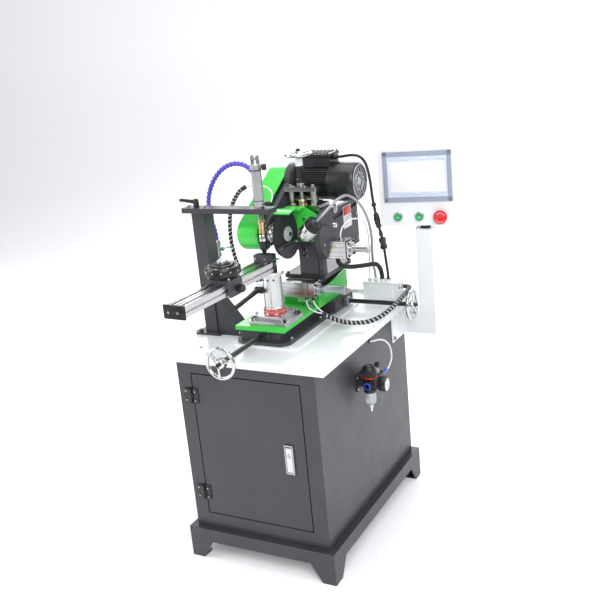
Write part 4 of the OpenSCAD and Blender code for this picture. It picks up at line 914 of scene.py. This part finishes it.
def make_clamp():
    at = (-20, -97)
    low = 974
    solid("clamp_barrel", "frame", "aluminium",
          turned([(12, 0), (12, 4), (16, 5.4), (16, 17), (14.6, 18), (13.4, 18), (13.4, 102), (14.6, 103), (15.6, 104),
                  (15.6, 117), (14.4, 118.4), (5, 118.4)], UP, (*at, low), 48), node="clamp_cylinder")
    solid("clamp_bands", "frame", "black_metal", torus(14.1, 0.9, UP, (*at, low + 19.6), 48, 8),
          torus(14.1, 0.9, UP, (*at, low + 101), 48, 8))
    fork = [(-6, 1091), (6, 1091), (6, 1108), (5, 1113), (0, 1116.5), (-5, 1113), (-6, 1108)]
    solid("clamp_fork", "frame", "steel",
          *[plate([(at[1] + u, v) for u, v in fork], at[0] + s * 8 - 2.2, at[0] + s * 8 + 2.2) for s in (-1, 1)],
          rod(3, 21, RIGHT, (at[0] - 10.5, at[1], 1106), 0.5, 20), bevel=0.0006)
    for z, tag in ((1084, "high"), (986, "low")):
        solid(f"clamp_port_{tag}", "frame", "brass", turned([(5.4, 0), (5.4, 4)], RIGHT, (-7, -97, z), 6),
              rod(3.6, 9, RIGHT, (-3, -97, z), 0.4, 20))
        solid(f"clamp_fitting_{tag}", "frame", "black_plastic",
              turned([(5, 0), (6.2, 1), (6.2, 14), (5, 16), (3.2, 16)], (0, 1, 0) if tag == "low" else UP,
                     (6, -104, z) if tag == "low" else (6, -97, z - 8), 28),
              rod(4.6, 9, RIGHT, (-2, -97, z), 0.6, 24))
    coils = [(math.cos(TAU * k / 12), math.sin(TAU * k / 12), k / 12) for k in range(12 * 7 + 1)]
    solid("clamp_bar_sleeve", "clamp_rod", "brass",
          turned([(9.2, 0), (10.6, 1), (10.6, 8), (9.4, 9.5), (9.4, 25), (10.8, 27), (10.8, 34), (9.6, 35)],
                 UP, (*at, 903), 44), node="clamp_rod")
    solid("clamp_piston_rod", "clamp_rod", "steel", rod(5, 146, UP, (*at, 900), 0.5, 32))
    solid("clamp_spring", "clamp_rod", "steel",
          bar([(at[0] + 7.6 * c, at[1] + 7.6 * s, 939.5 + 2.6 * t) for c, s, t in coils], [(0.9, 0.9)] * len(coils), 6, 1))
    solid("clamp_collar", "clamp_rod", "chrome",
          turned([(8, 0), (10.6, 1.2), (11, 4), (11, 16), (9.6, 19), (7, 20)], UP, (*at, 882), 44))
    solid("clamp_foot", "clamp_rod", "black_plastic",
          turned([(3.4, 0), (4.2, 1), (8, 10), (10.6, 12), (10.6, 30), (9.6, 33)], UP, (*at, 848), 40))


# ---------------------------------------------------------------- grinding head

def make_wheel():
    r = 62.5
    solid("abrasive_wheel", "spindle", "abrasive",
          turned([(18, 0), (r - 1.5, 0), (r, 1.2), (r, 10.8), (r - 1.5, 12), (30, 12), (29, 11.2), (18, 11.2)],
                 RIGHT, yz(10, SPINDLE), 96), node="grinding_wheel")
    solid("wheel_flange", "spindle", "aluminium",
          turned([(20.5, 0), (20.5, 4.6), (19, 6), (12.5, 6), (11.5, 4.8), (9, 4.8), (9, 8), (8, 8.6), (4.2, 8.6),
                  (4.2, 4), (0, 4)], RIGHT, yz(21.5, SPINDLE), 60), finish="flange_grey")
    solid("wheel_bolt", "spindle", "black_metal", turned([(6.2, 0), (6.2, 3)], RIGHT, yz(30, SPINDLE), 6, 0.4),
          turned([(4, 0), (4, 4.6), (3, 5.4)], RIGHT, yz(30, SPINDLE), 24))
    solid("spindle_shaft", "spindle", "steel", rod(8, 108, RIGHT, yz(-98, SPINDLE), 0.8, 36))
    groove = [(22, 0), (26, 0.6), (26, 2), (25.4, 2.6), (25.4, 19.4), (26, 20), (26, 21.4), (22, 22)]
    solid("spindle_pulley", "spindle", "steel", turned(groove, RIGHT, yz(-92, SPINDLE), 48))
    solid("spindle_collars", "head", "chrome",
          turned([(23.4, 0), (28, 0.8), (28, 7), (27, 8.2), (23.8, 8.2)], RIGHT, yz(-28, SPINDLE), 56, loop=True),
          torus(24, 0.7, RIGHT, yz(-12, SPINDLE), 56, 8), torus(24, 0.7, RIGHT, yz(3, SPINDLE), 56, 8))
    solid("housing_screws", "head", "black_metal",
          *[cap_screw((-19.8, SPINDLE[0] + 25.6 * math.cos(a), SPINDLE[1] + 25.6 * math.sin(a)), RIGHT, 1.5)
            for a in (TAU * k / 6 + 0.3 for k in range(6))])


def slot_outline(radius, steps=20):
    """Outline in Y and Z round the spindle and the motor."""
    dy, dz = MOTOR[0] - SPINDLE[0], MOTOR[1] - SPINDLE[1]
    lean = math.atan2(dz, dy)
    ends = [(SPINDLE, lean + math.pi / 2), (MOTOR, lean - math.pi / 2)]
    return [(c[0] + radius * math.cos(a + math.pi * k / steps), c[1] + radius * math.sin(a + math.pi * k / steps))
            for c, a in ends for k in range(steps + 1)]


def make_guards():
    outer, wall, round_off = 46.0, 2.5, 15.0
    arc = [math.radians(a) for a in range(0, 91, 10)]
    shell = [(-46.2, outer)] + [(-118 + round_off * (1 - math.sin(a)), outer - round_off * (1 - math.cos(a))) for a in arc]
    inside = [(-118 + wall, outer - round_off - wall), (-118 + round_off, outer - wall), (-46.2, outer - wall)]
    rings = [[(x, u, v) for u, v in slot_outline(r)] for x, r in shell]

    def add(shape):
        made = [[shape.verts.new(p) for p in ring] for ring in rings]
        held = [[shape.verts.new((x, u, v)) for u, v in slot_outline(r)] for x, r in inside]
        for group in (made, held):
            for low, high in zip(group, group[1:]):
                for k in range(len(low)):
                    j = (k + 1) % len(low)
                    shape.faces.new((low[k], low[j], high[j], high[k]))
        shape.faces.new(made[-1])
        shape.faces.new(held[0])
        for k in range(len(made[0])):
            j = (k + 1) % len(made[0])
            shape.faces.new((held[-1][k], held[-1][j], made[0][j], made[0][k]))

    solid("belt_guard_shell", "head", "green_paint", add, node="belt_guard", angle=40)
    rim = slot_outline(outer + 2.0)
    solid("belt_guard_lip", "head", "green_paint",
          loft([[(x, u, v) for u, v in slot_outline(r)] for x, r in
                ((-46, outer - 1), (-46, outer + 2), (-49, outer + 2), (-49, outer - 1))], loop=True), bevel=0.0004)
    spots = [rim[6], rim[14], rim[27], rim[35]]
    solid("belt_guard_screws", "head", "steel", *[cap_screw((-49, u, v), LEFT, 3.6) for u, v in spots])
    solid("belt_guard_knob", "head", "black_plastic",
          turned([(5, 0), (5, 3), (9, 5), (9, 12), (7, 14)], LEFT, (-118, 60, 945), 28))
    solid("guard_screws", "head", "black_metal", cap_screw((46, 28, 916), OUT, 5), cap_screw((60, 28.8, 905), OUT, 4),
          cap_screw((74, 28.8, 866), OUT, 4), cap_screw((-2, 28.8, 936), OUT, 4))
    solid("side_plate_screws", "head", "steel", *[cap_screw((27.6, y, z), RIGHT, 3.6) for y, z in ((-78, 856), (8, 856))])


def make_motor():
    fins = 44
    outline = []
    for k in range(fins):
        for frac, r in ((0.0, 47.0), (0.36, 47.0), (0.42, 52.0), (0.94, 52.0)):
            a = TAU * (k + frac) / fins
            outline.append((MOTOR[0] + r * math.cos(a), MOTOR[1] + r * math.sin(a)))
    solid("motor_fins", "head", "black_metal", plate(outline, -12, 84), node="motor_body", angle=25)
    solid("motor_flange", "head", "black_metal",
          turned([(30, 0), (55, 0), (56, 1), (56, 7), (54, 9), (50, 13), (30, 13)], RIGHT, yz(-28, MOTOR), 72, loop=True))
    cowl = [(53.2, 0), (55.2, 1), (56, 4), (56, 62), (55, 72), (51.6, 79), (47, 82), (44.4, 82), (44.4, 79), (49, 76),
            (53, 70), (53.2, 60)]
    solid("motor_cowl", "head", "black_metal", turned(cowl, RIGHT, yz(86, MOTOR), 96, loop=True), angle=30)
    solid("cowl_rim", "head", "zinc", torus(46.6, 1.9, RIGHT, yz(167.6, MOTOR), 80, 10))
    slats = []
    lean = math.radians(-38)
    for k in range(-4, 5):
        off = 10.0 * k
        half = math.sqrt(max(0.0, 45 ** 2 - off ** 2))
        ends = [(MOTOR[0] + off * math.cos(lean) - s * half * math.sin(lean),
                 MOTOR[1] + off * math.sin(lean) + s * half * math.cos(lean)) for s in (-1, 0, 1)]
        slats.append(bar([yz(165.4, p) for p in ends], [(1.1, 1.1)] * 3, 8, 0.8))
    solid("cowl_grille", "head", "zinc", *slats, torus(25, 1.3, RIGHT, yz(166, MOTOR), 48, 8),
          turned([(11, 0), (11, 1.5), (9.5, 2.4), (0, 2.6)], RIGHT, yz(164, MOTOR), 32), finish="gear_grey")
    solid("cowl_seams", "head", "black_metal", torus(56, 0.5, RIGHT, yz(92, MOTOR), 80, 6),
          torus(56, 0.5, RIGHT, yz(122, MOTOR), 80, 6),
          *[dome_screw((100, MOTOR[0] + 55.8 * math.cos(a), MOTOR[1] + 55.8 * math.sin(a)),
                       (0, math.cos(a), math.sin(a)), 3) for a in (0.6, 2.2, 3.8, 5.4)])
    y0, y1 = 118, 186
    solid("terminal_box", "head", "black_metal", block((6, y0, 1044), (90, y1, 1071), 3.0), block((14, y0 + 6, 1036), (82, y1 - 6, 1046), 2))
    solid("terminal_lid", "head", "black_metal", block((3.5, y0 - 2, 1071.4), (92.5, y1 + 2, 1081), 3.0),
          *[block((x, y0 + 4, 1080), (x + 4.5, y1 - 4, 1084), 1.2) for x in range(14, 80, 12)],
          *[cap_screw((x, y, 1080.6), UP, 3.4) for x in (9, 87) for y in (y0 + 4, y1 - 4)])
    solid("motor_gland", "head", "black_plastic", knurled(8, 0.5, 7, RIGHT, (90, 150, 1068), 10, 0.8),
          turned([(7.6, 0), (6.6, 5), (5.0, 8)], RIGHT, (97, 150, 1068), 28))
    solid("motor_feet", "head", "black_metal", block((-6, 100, 944), (64, 116, 952), 1.5),
          *[cap_screw((x, 104, 952), UP, 4) for x in (4, 54)])


def make_head_plate():
    x = 107
    solid("head_label", "head", "white_paint", block((x, 150, 858), (x + 0.5, 204, 922), 0.1), finish="white_mark")
    solid("head_label_band", "head", "stop_red", block((x + 0.4, 152, 896), (x + 0.8, 202, 920), 0.1), finish="red_ring")
    solid("head_label_rows", "head", "gear_grey",
          *[block((x + 0.4, 156, z), (x + 0.8, 156 + w, z + 2.4), 0.1) for z, w in ((888, 40), (882, 34), (876, 42), (868, 26))])
    solid("head_stud", "head", "chrome",
          turned([(3, 0), (3, 26), (6, 27), (7.2, 28), (7.2, 34), (6.4, 35.4), (0, 36)], RIGHT, (x, 26, 900), 28))
    solid("head_plate_bolts", "head", "steel",
          *[cap_screw((x, y, z), RIGHT, 5) for y, z in ((108, 812), (232, 812), (232, 886), (96, 846), (12, 846))])
    at = (55, 828)
    solid("stroke_ribs", "head", "aluminium",
          *[block((x + 1, at[0] - 24.6, at[1] + dz), (x + 55, at[0] - 23.6, at[1] + dz + 3), 0.4) for dz in (-20, -8, 5, 17)],
          *[block((x + 1, at[0] + dy, at[1] + 23.6), (x + 55, at[0] + dy + 3, at[1] + 24.6), 0.4) for dy in (-20, -8, 5, 17)])
    solid("stroke_edges", "head", "black_metal",
          block((x + 55.6, at[0] - 24.4, at[1] - 24.4), (x + 57.2, at[0] + 24.4, at[1] + 24.4), 0.5),
          *[cap_screw((x + 62, at[0] + a * 17.5, at[1] + b * 17.5), RIGHT, 4) for a in (-1, 1) for b in (-1, 1)])
    solid("stroke_adjuster", "head", "brass",
          turned([(10, 0), (11.4, 1), (11.4, 6), (9.8, 7), (9.8, 14), (10.4, 15), (10.4, 18), (9.8, 19), (9.8, 46),
                  (11.6, 47), (11.6, 54), (10.6, 56), (6.4, 56), (6, 53), (0, 53)], RIGHT, yz(x + 61.6, at), 44),
          finish="zinc")
    solid("stroke_port", "head", "brass", turned([(5.4, 0), (5.4, 3)], UP, (140, 54, 852), 6),
          rod(4, 5, UP, (140, 54, 854), 0.5, 20), turned([(5, 0), (5, 4)], OUT, (128, 31, 836), 6))
    solid("hose_gland", "head", "black_plastic", knurled(8.2, 0, 7, DOWN, (98, 112, 796), 10, 0.8),
          turned([(8.0, 0), (7.2, 5)], DOWN, (98, 112, 788.6), 28))


def make_cross_slide():
    at = (22, 715)
    solid("feed_ribs", "cross_slide", "aluminium",
          *[block((-30, at[0] - 22.7, at[1] + dz), (49, at[0] - 21.6, at[1] + dz + 3), 0.4) for dz in (-18, -7, 4, 15)],
          *[block((-30, at[0] + dy, at[1] + 21.6), (49, at[0] + dy + 3, at[1] + 22.7), 0.4) for dy in (-18, 15)])
    solid("feed_screws", "cross_slide", "black_metal",
          *[cap_screw((70, at[0] + a * 15.5, at[1] + b * 15.5), RIGHT, 4) for a in (-1, 1) for b in (-1, 1)],
          *[cap_screw((-32, at[0] + a * 16, at[1] + b * 16), LEFT, 4) for a in (-1, 1) for b in (-1, 1)],
          block((49.4, at[0] - 22.4, at[1] - 22.4), (50.8, at[0] + 22.4, at[1] + 22.4), 0.4))
    solid("feed_adjuster", "cross_slide", "brass",
          turned([(10, 0), (12.6, 1), (12.6, 8), (10.2, 9.4), (10.2, 20), (10.8, 21), (10.8, 26), (10.2, 27), (10.2, 74),
                  (12, 75), (12, 88), (8, 90)], RIGHT, yz(70, at), 44), finish="zinc")
    solid("feed_tip", "cross_slide", "steel", turned([(9, 0), (9, 7), (8, 8)], RIGHT, yz(159, at), 6),
          *[torus(3.1, 0.5, RIGHT, yz(168 + 2.5 * k, at), 20, 6) for k in range(17)],
          turned([(4.5, 0), (4.5, 3)], RIGHT, yz(183, at), 6))
    for k, x in enumerate((40, 62)):
        solid(f"feed_elbow_{k}", "cross_slide", "black_plastic", turned([(4, 0), (4.6, 1), (4.6, 7), (3.4, 9)], DOWN, (x, 6, 694.4), 24))
    solid("feed_pawl_rod", "feed_pawl", "steel", rod(5, 80, RIGHT, yz(-54, at), 0.6, 28), node="feed_pawl")
    solid("feed_pawl_arm", "feed_pawl", "brass", block((-68, 17, 716), (-58, 27, 772), 1.0), block((-68, -47.5, 766), (-58, 27, 773.6), 1.0),
          turned([(8, 0), (8, 12), (6.8, 13.6)], RIGHT, yz(-68, at), 6), finish="steel")
    solid("feed_pawl_tip", "feed_pawl", "brass", block((-70, -48, 767), (-56, -36, 773.8), 1.5), cap_screw((-63, 20, 773.4), UP, 4))
    solid("column_bolts", "cross_slide", "black_metal",
          *[cap_screw((28, 46, z), OUT, 6) for z in (806, 822)],
          *[cap_screw((x, y, 750), UP, 5) for x in (-34, 82) for y in (48, 214)],
          *[cap_screw((77, 44, z), OUT, 3.6) for z in (760, 826)])
    solid("column_rings", "cross_slide", "steel", *[torus(5.8, 1.0, OUT, (28, 45.8, z), 24, 8) for z in (806, 822)])
    solid("guide_collars", "cross_slide", "chrome",
          *[turned([(9.6, 0), (13, 0.8), (13, 6), (12, 7), (9.6, 7)], UP, (x, 66, 846), 32) for x in (-9, 61)])
    solid("guide_nuts", "cross_slide", "steel",
          *[hex_bolt((x, 66, 1000), UP, 7) for x in (-9, 61)],
          *[cap_screw((x, 54, 1000), UP, 3.4) for x in (6, 42)])
    solid("trough_edge", "cross_slide", "green_paint",
          bar([(-58, 56, 691.6), (-58, 248, 709)], [(2.1, 1.3)] * 2, 12), bar([(53, 56, 691.6), (53, 248, 709)], [(2.1, 1.3)] * 2, 12),
          bar([(-58, 56, 691.2), (53, 56, 691.2)], [(2.1, 1.3)] * 2, 12), bar([(-58, 248, 709), (53, 248, 709)], [(2.1, 1.3)] * 2, 12))
    solid("lift_nut", "lift_slide", "brass", turned([(9, 0), (11.6, 1), (11.6, 12), (10.4, 14), (6.4, 14)], UP, (24, 66, 950.4), 36),
          *[cap_screw((x, y, 950), UP, 3.6) for x in (6, 42) for y in (52,)])
    solid("slide_screws", "lift_slide", "black_metal", *[cap_screw((x, 46, 931), OUT, 5) for x in (6, 44, 78)],
          *[cap_screw((x, 46, 918), OUT, 3.4) for x in (-14,)])
    solid("pivot_cap", "head", "steel", turned([(13, 0), (13, 3), (11, 4.4), (0, 4.8)], RIGHT, yz(107, (PIVOT_Y, PIVOT_Z)), 36))


# ---------------------------------------------------------------- lamp, box, panel and air unit

def make_lamp():
    place = Matrix.Translation((122, -46, 928)) @ Matrix.Rotation(math.radians(45), 4, "Y")
    solid("lamp_body", "frame", "aluminium",
          turned([(20.4, -58), (22.6, -58), (23.2, -57), (23.2, -28), (21.5, -26.4), (12, -26.4), (12, -40), (19.6, -52)],
                 UP, (0, 0, 0), 56, loop=True), node="work_lamp", place=place)
    solid("lamp_cap", "frame", "black_metal",
          turned([(12, -27), (23.4, -26.6)] + [p for k in range(4) for p in ((23.6, -25.6 + 5 * k), (23.6, -23 + 5 * k),
                 (21.2, -22.4 + 5 * k), (21.2, -21.2 + 5 * k))] + [(22.4, -5.8), (13, -5), (12, -4), (6, 0)], UP, (0, 0, 0), 56), place=place)
    solid("lamp_glass", "frame", "clear_tube", turned([(0, -54), (12, -55.4), (19.4, -54.2), (19.4, -53), (0, -52.4)], UP, (0, 0, 0), 48),
          place=place, finish="white_mark")
    solid("lamp_bezel", "frame", "chrome", torus(21.5, 1.6, UP, (0, 0, -57), 56, 10), place=place)


def make_junction_box():
    top = 656
    solid("box_lid", "frame", "white_paint", block((86.4, 290.6, top - 5), (201.6, 349.2, top + 1.4), 1.6))
    solid("box_lid_screws", "frame", "steel", *[dome_screw((x, y, top + 1.2), UP, 3) for x in (93, 195) for y in (297, 342)])
    for x, r, tag in ((126, 8, "gooseneck"), (106, 6, "tube")):
        solid(f"gland_{tag}", "frame", "chrome", turned([(r + 1, 0), (r + 1, 4)], UP, (x, 306, top + 1), 6),
              turned([(r, 0), (r, 8), (r - 1.6, 10.5), (r - 3, 11)], UP, (x, 306, top + 1), 28))
    for x in (148, 168):
        solid(f"gland_{x}", "frame", "black_plastic", knurled(9.4, 0.5, 7, UP, (x, 306, top + 1), 12, 0.9),
              turned([(9, 0), (7.6, 3)], UP, (x, 306, top + 8), 28))
    solid("gland_side", "frame", "black_plastic", knurled(8.4, 1, 8, RIGHT, (201, 304, 645), 12, 0.8),
          turned([(8, 0), (7, 3)], RIGHT, (209, 304, 645), 28))
    pts = [Vector(p) for p in MOTOR_CABLE_ROUTE]
    solid("box_side_plate", "frame", "white_paint", block((104, 290, 606), (186, 292.4, 648), 0.8),
          *[dome_screw((x, 290, z), OUT, 2.6) for x in (110, 180) for z in (612, 642)])
    return pts


def make_panel():
    y0 = -31
    face = -26
    solid("screen_bezel", "panel", "gear_grey",
          *[block(a, b, 1.2) for a, b in (((-110, y0 - 0.6, 71), (86, face, 84.5)), ((-110, y0 - 0.6, 201.5), (86, face, 215)),
                                          ((-110, y0 - 0.6, 71), (-97.5, face, 215)), ((73.5, y0 - 0.6, 71), (86, face, 215)))],
          place=PANEL, finish="bezel_blue")
    solid("screen_glass", "panel", "clear_tube", block((-97.6, face - 3.2, 84.4), (73.6, face - 2.4, 201.6), 0.2), place=PANEL, finish="screen")
    waves = []
    for base, amp, turns, thick in ((194, 3.0, 3.0, 1.1), (190, 1.8, 4.5, 0.6), (94, 2.6, 3.5, 1.1), (90, 1.6, 5.0, 0.6)):
        line = [(-92 + 160 * k / 48, face - 3.4, base + amp * math.sin(TAU * turns * k / 48 + base)) for k in range(49)]
        waves.append(bar(line, [(thick, 0.25)] * 49, 8, 0.8))
    solid("screen_waves", "panel", "clear_tube", *waves, place=PANEL, finish="screen_wave")
    solid("screen_field", "panel", "clear_tube", block((-90, face - 3.6, 100), (66, face - 3.1, 185), 0.1), place=PANEL, finish="white_mark")
    solid("panel_seam", "panel", "white_paint", block((-127, 40.4, -0.6), (103, 43.0, 237), 0.8), place=PANEL)
    solid("panel_screws", "panel", "steel", *[dome_screw((x, 42, z), BACK, 4) for x in (-116, 92) for z in (12, 224)], place=PANEL)
    for k, tag in enumerate(("start", "cycle")):
        c = -74 + 62 * k
        solid(f"{tag}_bezel", "panel", "chrome",
              turned([(11.6, 0), (14.6, 0.3), (14.6, 1.6), (13.4, 3), (11.6, 3)], OUT, (c, face, 26), 40, loop=True), place=PANEL)
        solid(f"{tag}_cap", f"{tag}_button", "button_green",
              turned([(10.9, -1), (11, 2.6), (10.4, 4.6), (9.2, 5), (8.6, 4.4), (0, 4.6)], OUT, (c, -29.5, 26), 40),
              rod(8.9, 18, BACK, (c, -29.5, 26), 0.5, 24), place=PANEL, node=f"{tag}_button")
        solid(f"{tag}_mark", f"{tag}_button", "white_paint", block((c - 3.5, -34.5, 25.2), (c + 3.5, -34.1, 26.8), 0.1),
              place=PANEL, finish="white_mark")
    c = 50
    solid("stop_collar", "panel", "stop_red", turned([(10, 0), (17, 0.4), (17, 2.4), (15, 3.3), (10, 3.3)], OUT, (c, face, 26), 44, loop=True),
          place=PANEL)
    solid("stop_cap", "emergency_stop", "stop_red",
          turned([(9, 0), (13, 0.4), (14, 3), (19, 6), (20, 8), (20, 11), (18.6, 13.2), (16, 14), (11.5, 12.6), (0, 12.2)],
                 OUT, (c, -29.5, 26), 56), rod(8.9, 18, BACK, (c, -29.5, 26), 0.5, 24), place=PANEL, node="emergency_stop")
    arcs = []
    for start in (0.4, 0.4 + math.pi):
        path = [(c + 13.4 * math.cos(start + 0.2 * k), -43.1, 26 + 13.4 * math.sin(start + 0.2 * k)) for k in range(11)]
        arcs.append(bar(path, [(1.1, 0.5)] * 8 + [(2.2, 0.5), (1.4, 0.5), (0.3, 0.4)], 8, 0.8))
    solid("stop_arrows", "emergency_stop", "white_paint", *arcs, place=PANEL, finish="white_mark")
    solid("post_plate_bolts", "frame", "steel", *[hex_bolt((214, y, z), RIGHT, 7) for y in (216, 294) for z in (508, 580)])
    solid("post_cap", "frame", "black_plastic", turned([(14, 0), (14.6, 1), (14.6, 8), (12, 9.6)], UP, (307, 281, 836), 40))
    solid("swivel_screw", "panel", "chrome", turned([(4, 0), (4, 6), (7, 7), (7, 12), (0, 13)], DOWN, (-20, -12, 0), 24), place=PANEL)


def make_air_unit():
    x, y = 246, -55
    solid("knob_grip", "regulator_knob", "black_plastic", knurled(20, 0.4, 18, UP, (x, y, 498), 26, 1.1),
          turned([(19, 0), (17.5, 8), (14, 11.6), (9, 12), (8, 11), (0, 11)], UP, (x, y, 515.6), 52), node="regulator_knob")
    solid("knob_marks", "regulator_knob", "white_paint", bar([(x - 6, y, 527.4), (x + 6, y, 527.4)], [(0.6, 0.3)] * 2, 8), finish="white_mark")
    solid("red_ring", "frame", "stop_red", turned([(15, 0), (20.2, 0.4), (20.8, 1.4), (20.2, 2.6), (15, 3)], UP, (x, y, 494.6), 52, loop=True),
          finish="red_ring")
    body = [block((x - 19, y - 6.4, 457), (x + 19, y + 19, 494), 3.0), block((210, y - 14, 452), (214, y + 70, 496), 1.2),
            block((214, y - 10, 468), (x - 16, y + 10, 488), 1.0), block((x - 12, y + 16, 462), (x + 12, y + 74, 486), 2.4),
            turned([(17, 0), (18, 2), (18, 7), (15, 10)], UP, (x, y, 452), 44), turned([(11, 0), (11, 6)], UP, (x, y + 60, 456), 36),
            turned([(6.62, 0), (13, 0), (14.6, 1.4), (14.6, 13), (6.62, 13)], BACK, (x, y - 19, 474), 6, loop=True)]
    solid("air_body", "frame", "black_plastic", *body, node="air_regulator")
    solid("drain_bowl", "frame", "clear_tube",
          turned([(15, 0), (15, -28), (13.6, -34), (9, -39), (4, -41), (4, -43), (0, -43), (0, -41)], UP, (x, y, 454), 48), finish="bowl")
    solid("drain_core", "frame", "white_paint", turned([(9, 0), (9, -18), (11, -19), (11, -22), (4, -23), (4, -30)], UP, (x, y, 453), 32), finish="white_mark")
    solid("drain_tap", "frame", "black_plastic", turned([(4.6, 0), (5.4, 1), (5.4, 6), (3, 7), (2.4, 19)], DOWN, (x, y, 412), 24), finish="white_mark")
    solid("oil_bowl", "frame", "clear_tube", turned([(10, 0), (10, -22), (8, -28), (3, -31), (0, -31)], UP, (x, y + 60, 457), 40), finish="bowl")
    solid("bowl_ribs", "frame", "black_plastic",
          *[bar([(x + 15.2 * math.cos(a), y + 15.2 * math.sin(a), 453), (x + 15.2 * math.cos(a), y + 15.2 * math.sin(a), 424),
                 (x + 9 * math.cos(a), y + 9 * math.sin(a), 414)], [(1.2, 0.9)] * 3, 8) for a in (0.9, 2.5, 4.1, 5.7)], finish="bowl")
    gauge = (y + 36, 462)
    solid("gauge_case", "frame", "black_metal",
          turned([(6, 0), (6, 4), (20, 6), (21, 8), (21, 27), (20, 28.6), (18.4, 28.6), (18.4, 27), (0, 27)], RIGHT, yz(x + 8, gauge), 56))
    solid("gauge_face", "frame", "white_paint", turned([(18.2, 0), (18.2, 0.6), (0, 0.7)], RIGHT, yz(x + 34.9, gauge), 48), finish="white_mark")
    marks = [math.radians(a) for a in range(-45, 226, 15)]
    solid("gauge_marks", "frame", "black_plastic",
          *[bar([(x + 35.7, gauge[0] + r * math.cos(a), gauge[1] + r * math.sin(a)) for r in (13.2, 16)], [(0.45, 0.2)] * 2, 6) for a in marks],
          bar([(x + 35.8, gauge[0] - 3, gauge[1] + 3), (x + 35.8, gauge[0] + 9, gauge[1] - 8)], [(0.6, 0.2), (0.25, 0.2)], 6),
          rod(1.6, 0.8, RIGHT, yz(x + 35.4, gauge), 0.2, 16))
    solid("oil_dome", "frame", "clear_tube", turned([(6, 0), (6, 8), (4.8, 14), (0, 15)], UP, (x, y + 56, 486), 28), finish="bowl")
    solid("oil_knob", "frame", "black_plastic", knurled(7.5, 0, 11, UP, (x, y + 56, 505), 12, 0.8))
    solid("outlet_fitting", "frame", "black_plastic", turned([(6, 0), (6, 8), (5, 9), (5, 44), (3, 45)], BACK, (x, y + 74, 470), 28), finish="blue_fitting")
    solid("supply_plug", "frame", "black_plastic", turned([(7.6, 0), (10.4, 0.6), (10.4, 3.4), (9, 4.4), (7.6, 4.4)], OUT, (x, y - 19.2, 474), 30, loop=True),
          finish="blue_fitting")
    solid("wall_plate_screws", "frame", "steel", *[dome_screw((214, yy, zz), RIGHT, 3.4) for yy in (-63, 9) for zz in (457, 491)])


def make_valve():
    x, y = -220, -24
    solid("valve_pipe", "frame", "zinc", turned([(6, 0), (12.5, 0), (12.5, 4), (6.4, 6), (6.4, 190), (6.4, 212)], UP, (x, y, 600), 36), node="coolant_valve")
    solid("valve_body", "frame", "brass", turned([(10.5, 0), (10.5, 8), (8.6, 10), (9.4, 16), (9.4, 26), (8.6, 30), (10.5, 34), (10.5, 42), (8.5, 47)],
                                                UP, (x, y, 814), 36), rod(5, 13, RIGHT, (x, y, 835), 0.5, 24), finish="zinc")
    solid("pipe_clip", "frame", "steel", block((-230, -51, 790), (-210, -32, 793.6), 0.5), torus(7.4, 1.4, UP, (x, y, 792), 32, 8))
    lx = -205.8
    solid("valve_handle", "valve_lever", "button_green", rod(5.6, 6, RIGHT, (lx, y, 835), 0.8, 24),
          bar([(lx + 3.5, y - 5, 835), (lx + 3.5, y + 14, 835), (lx + 4.5, y + 22, 835), (lx + 9, y + 24.5, 835), (lx + 17, y + 24.5, 835)],
              [(5, 1.6), (5.4, 1.6), (6.4, 1.8), (7.4, 2.0), (7.4, 2.0)], 14, 0.7), node="valve_lever")
    solid("valve_nut", "valve_lever", "steel", turned([(4, 0), (4, 2.4)], RIGHT, (lx + 6, y, 835), 6))


def make_cable_ties():
    """Tape wraps and ties on the cords that stay with the frame."""
    points = [Vector(p) for p in BUNDLE_RIGHT_ROUTE]
    at = points[3]
    heading = (points[4] - points[2]).normalized()
    solid("bundle_ties", "frame", "black_plastic", turned([(6.7, -1.5), (7.2, -1.5), (7.2, 1.5), (6.7, 1.5)], heading, at, 28, loop=True))
    solid("bundle_end_collar", "frame", "black_plastic", turned([(4.5, 0), (6.8, 2), (6.8, 12)], (0.87, 0.5, -0.7), (95, -10, 654), 24), finish="tape")
    solid("bundle_start_collar", "frame", "black_plastic", turned([(3, 0), (6.2, 4), (6.2, 16)], (-0.87, 0.16, -0.5), (-114, -2, 1013.5), 24), finish="tape")
    solid("nozzle_rings", "frame", "blue_hose", turned([(3.4, 0), (7, 12), (8.6, 14), (8.6, 19), (7.4, 21)], UP, (-44, -54, 978), 32), node="coolant_nozzle")


make_camera()
make_studio()
make_cabinet()
make_bed()
make_handwheels()
make_levers()
make_support()
make_clamp()
make_wheel()
make_guards()
make_motor()
make_head_plate()
make_cross_slide()
make_lamp()
make_junction_box()
make_panel()
make_air_unit()
make_valve()
make_cable_ties()
make_cords()
paint_cad()
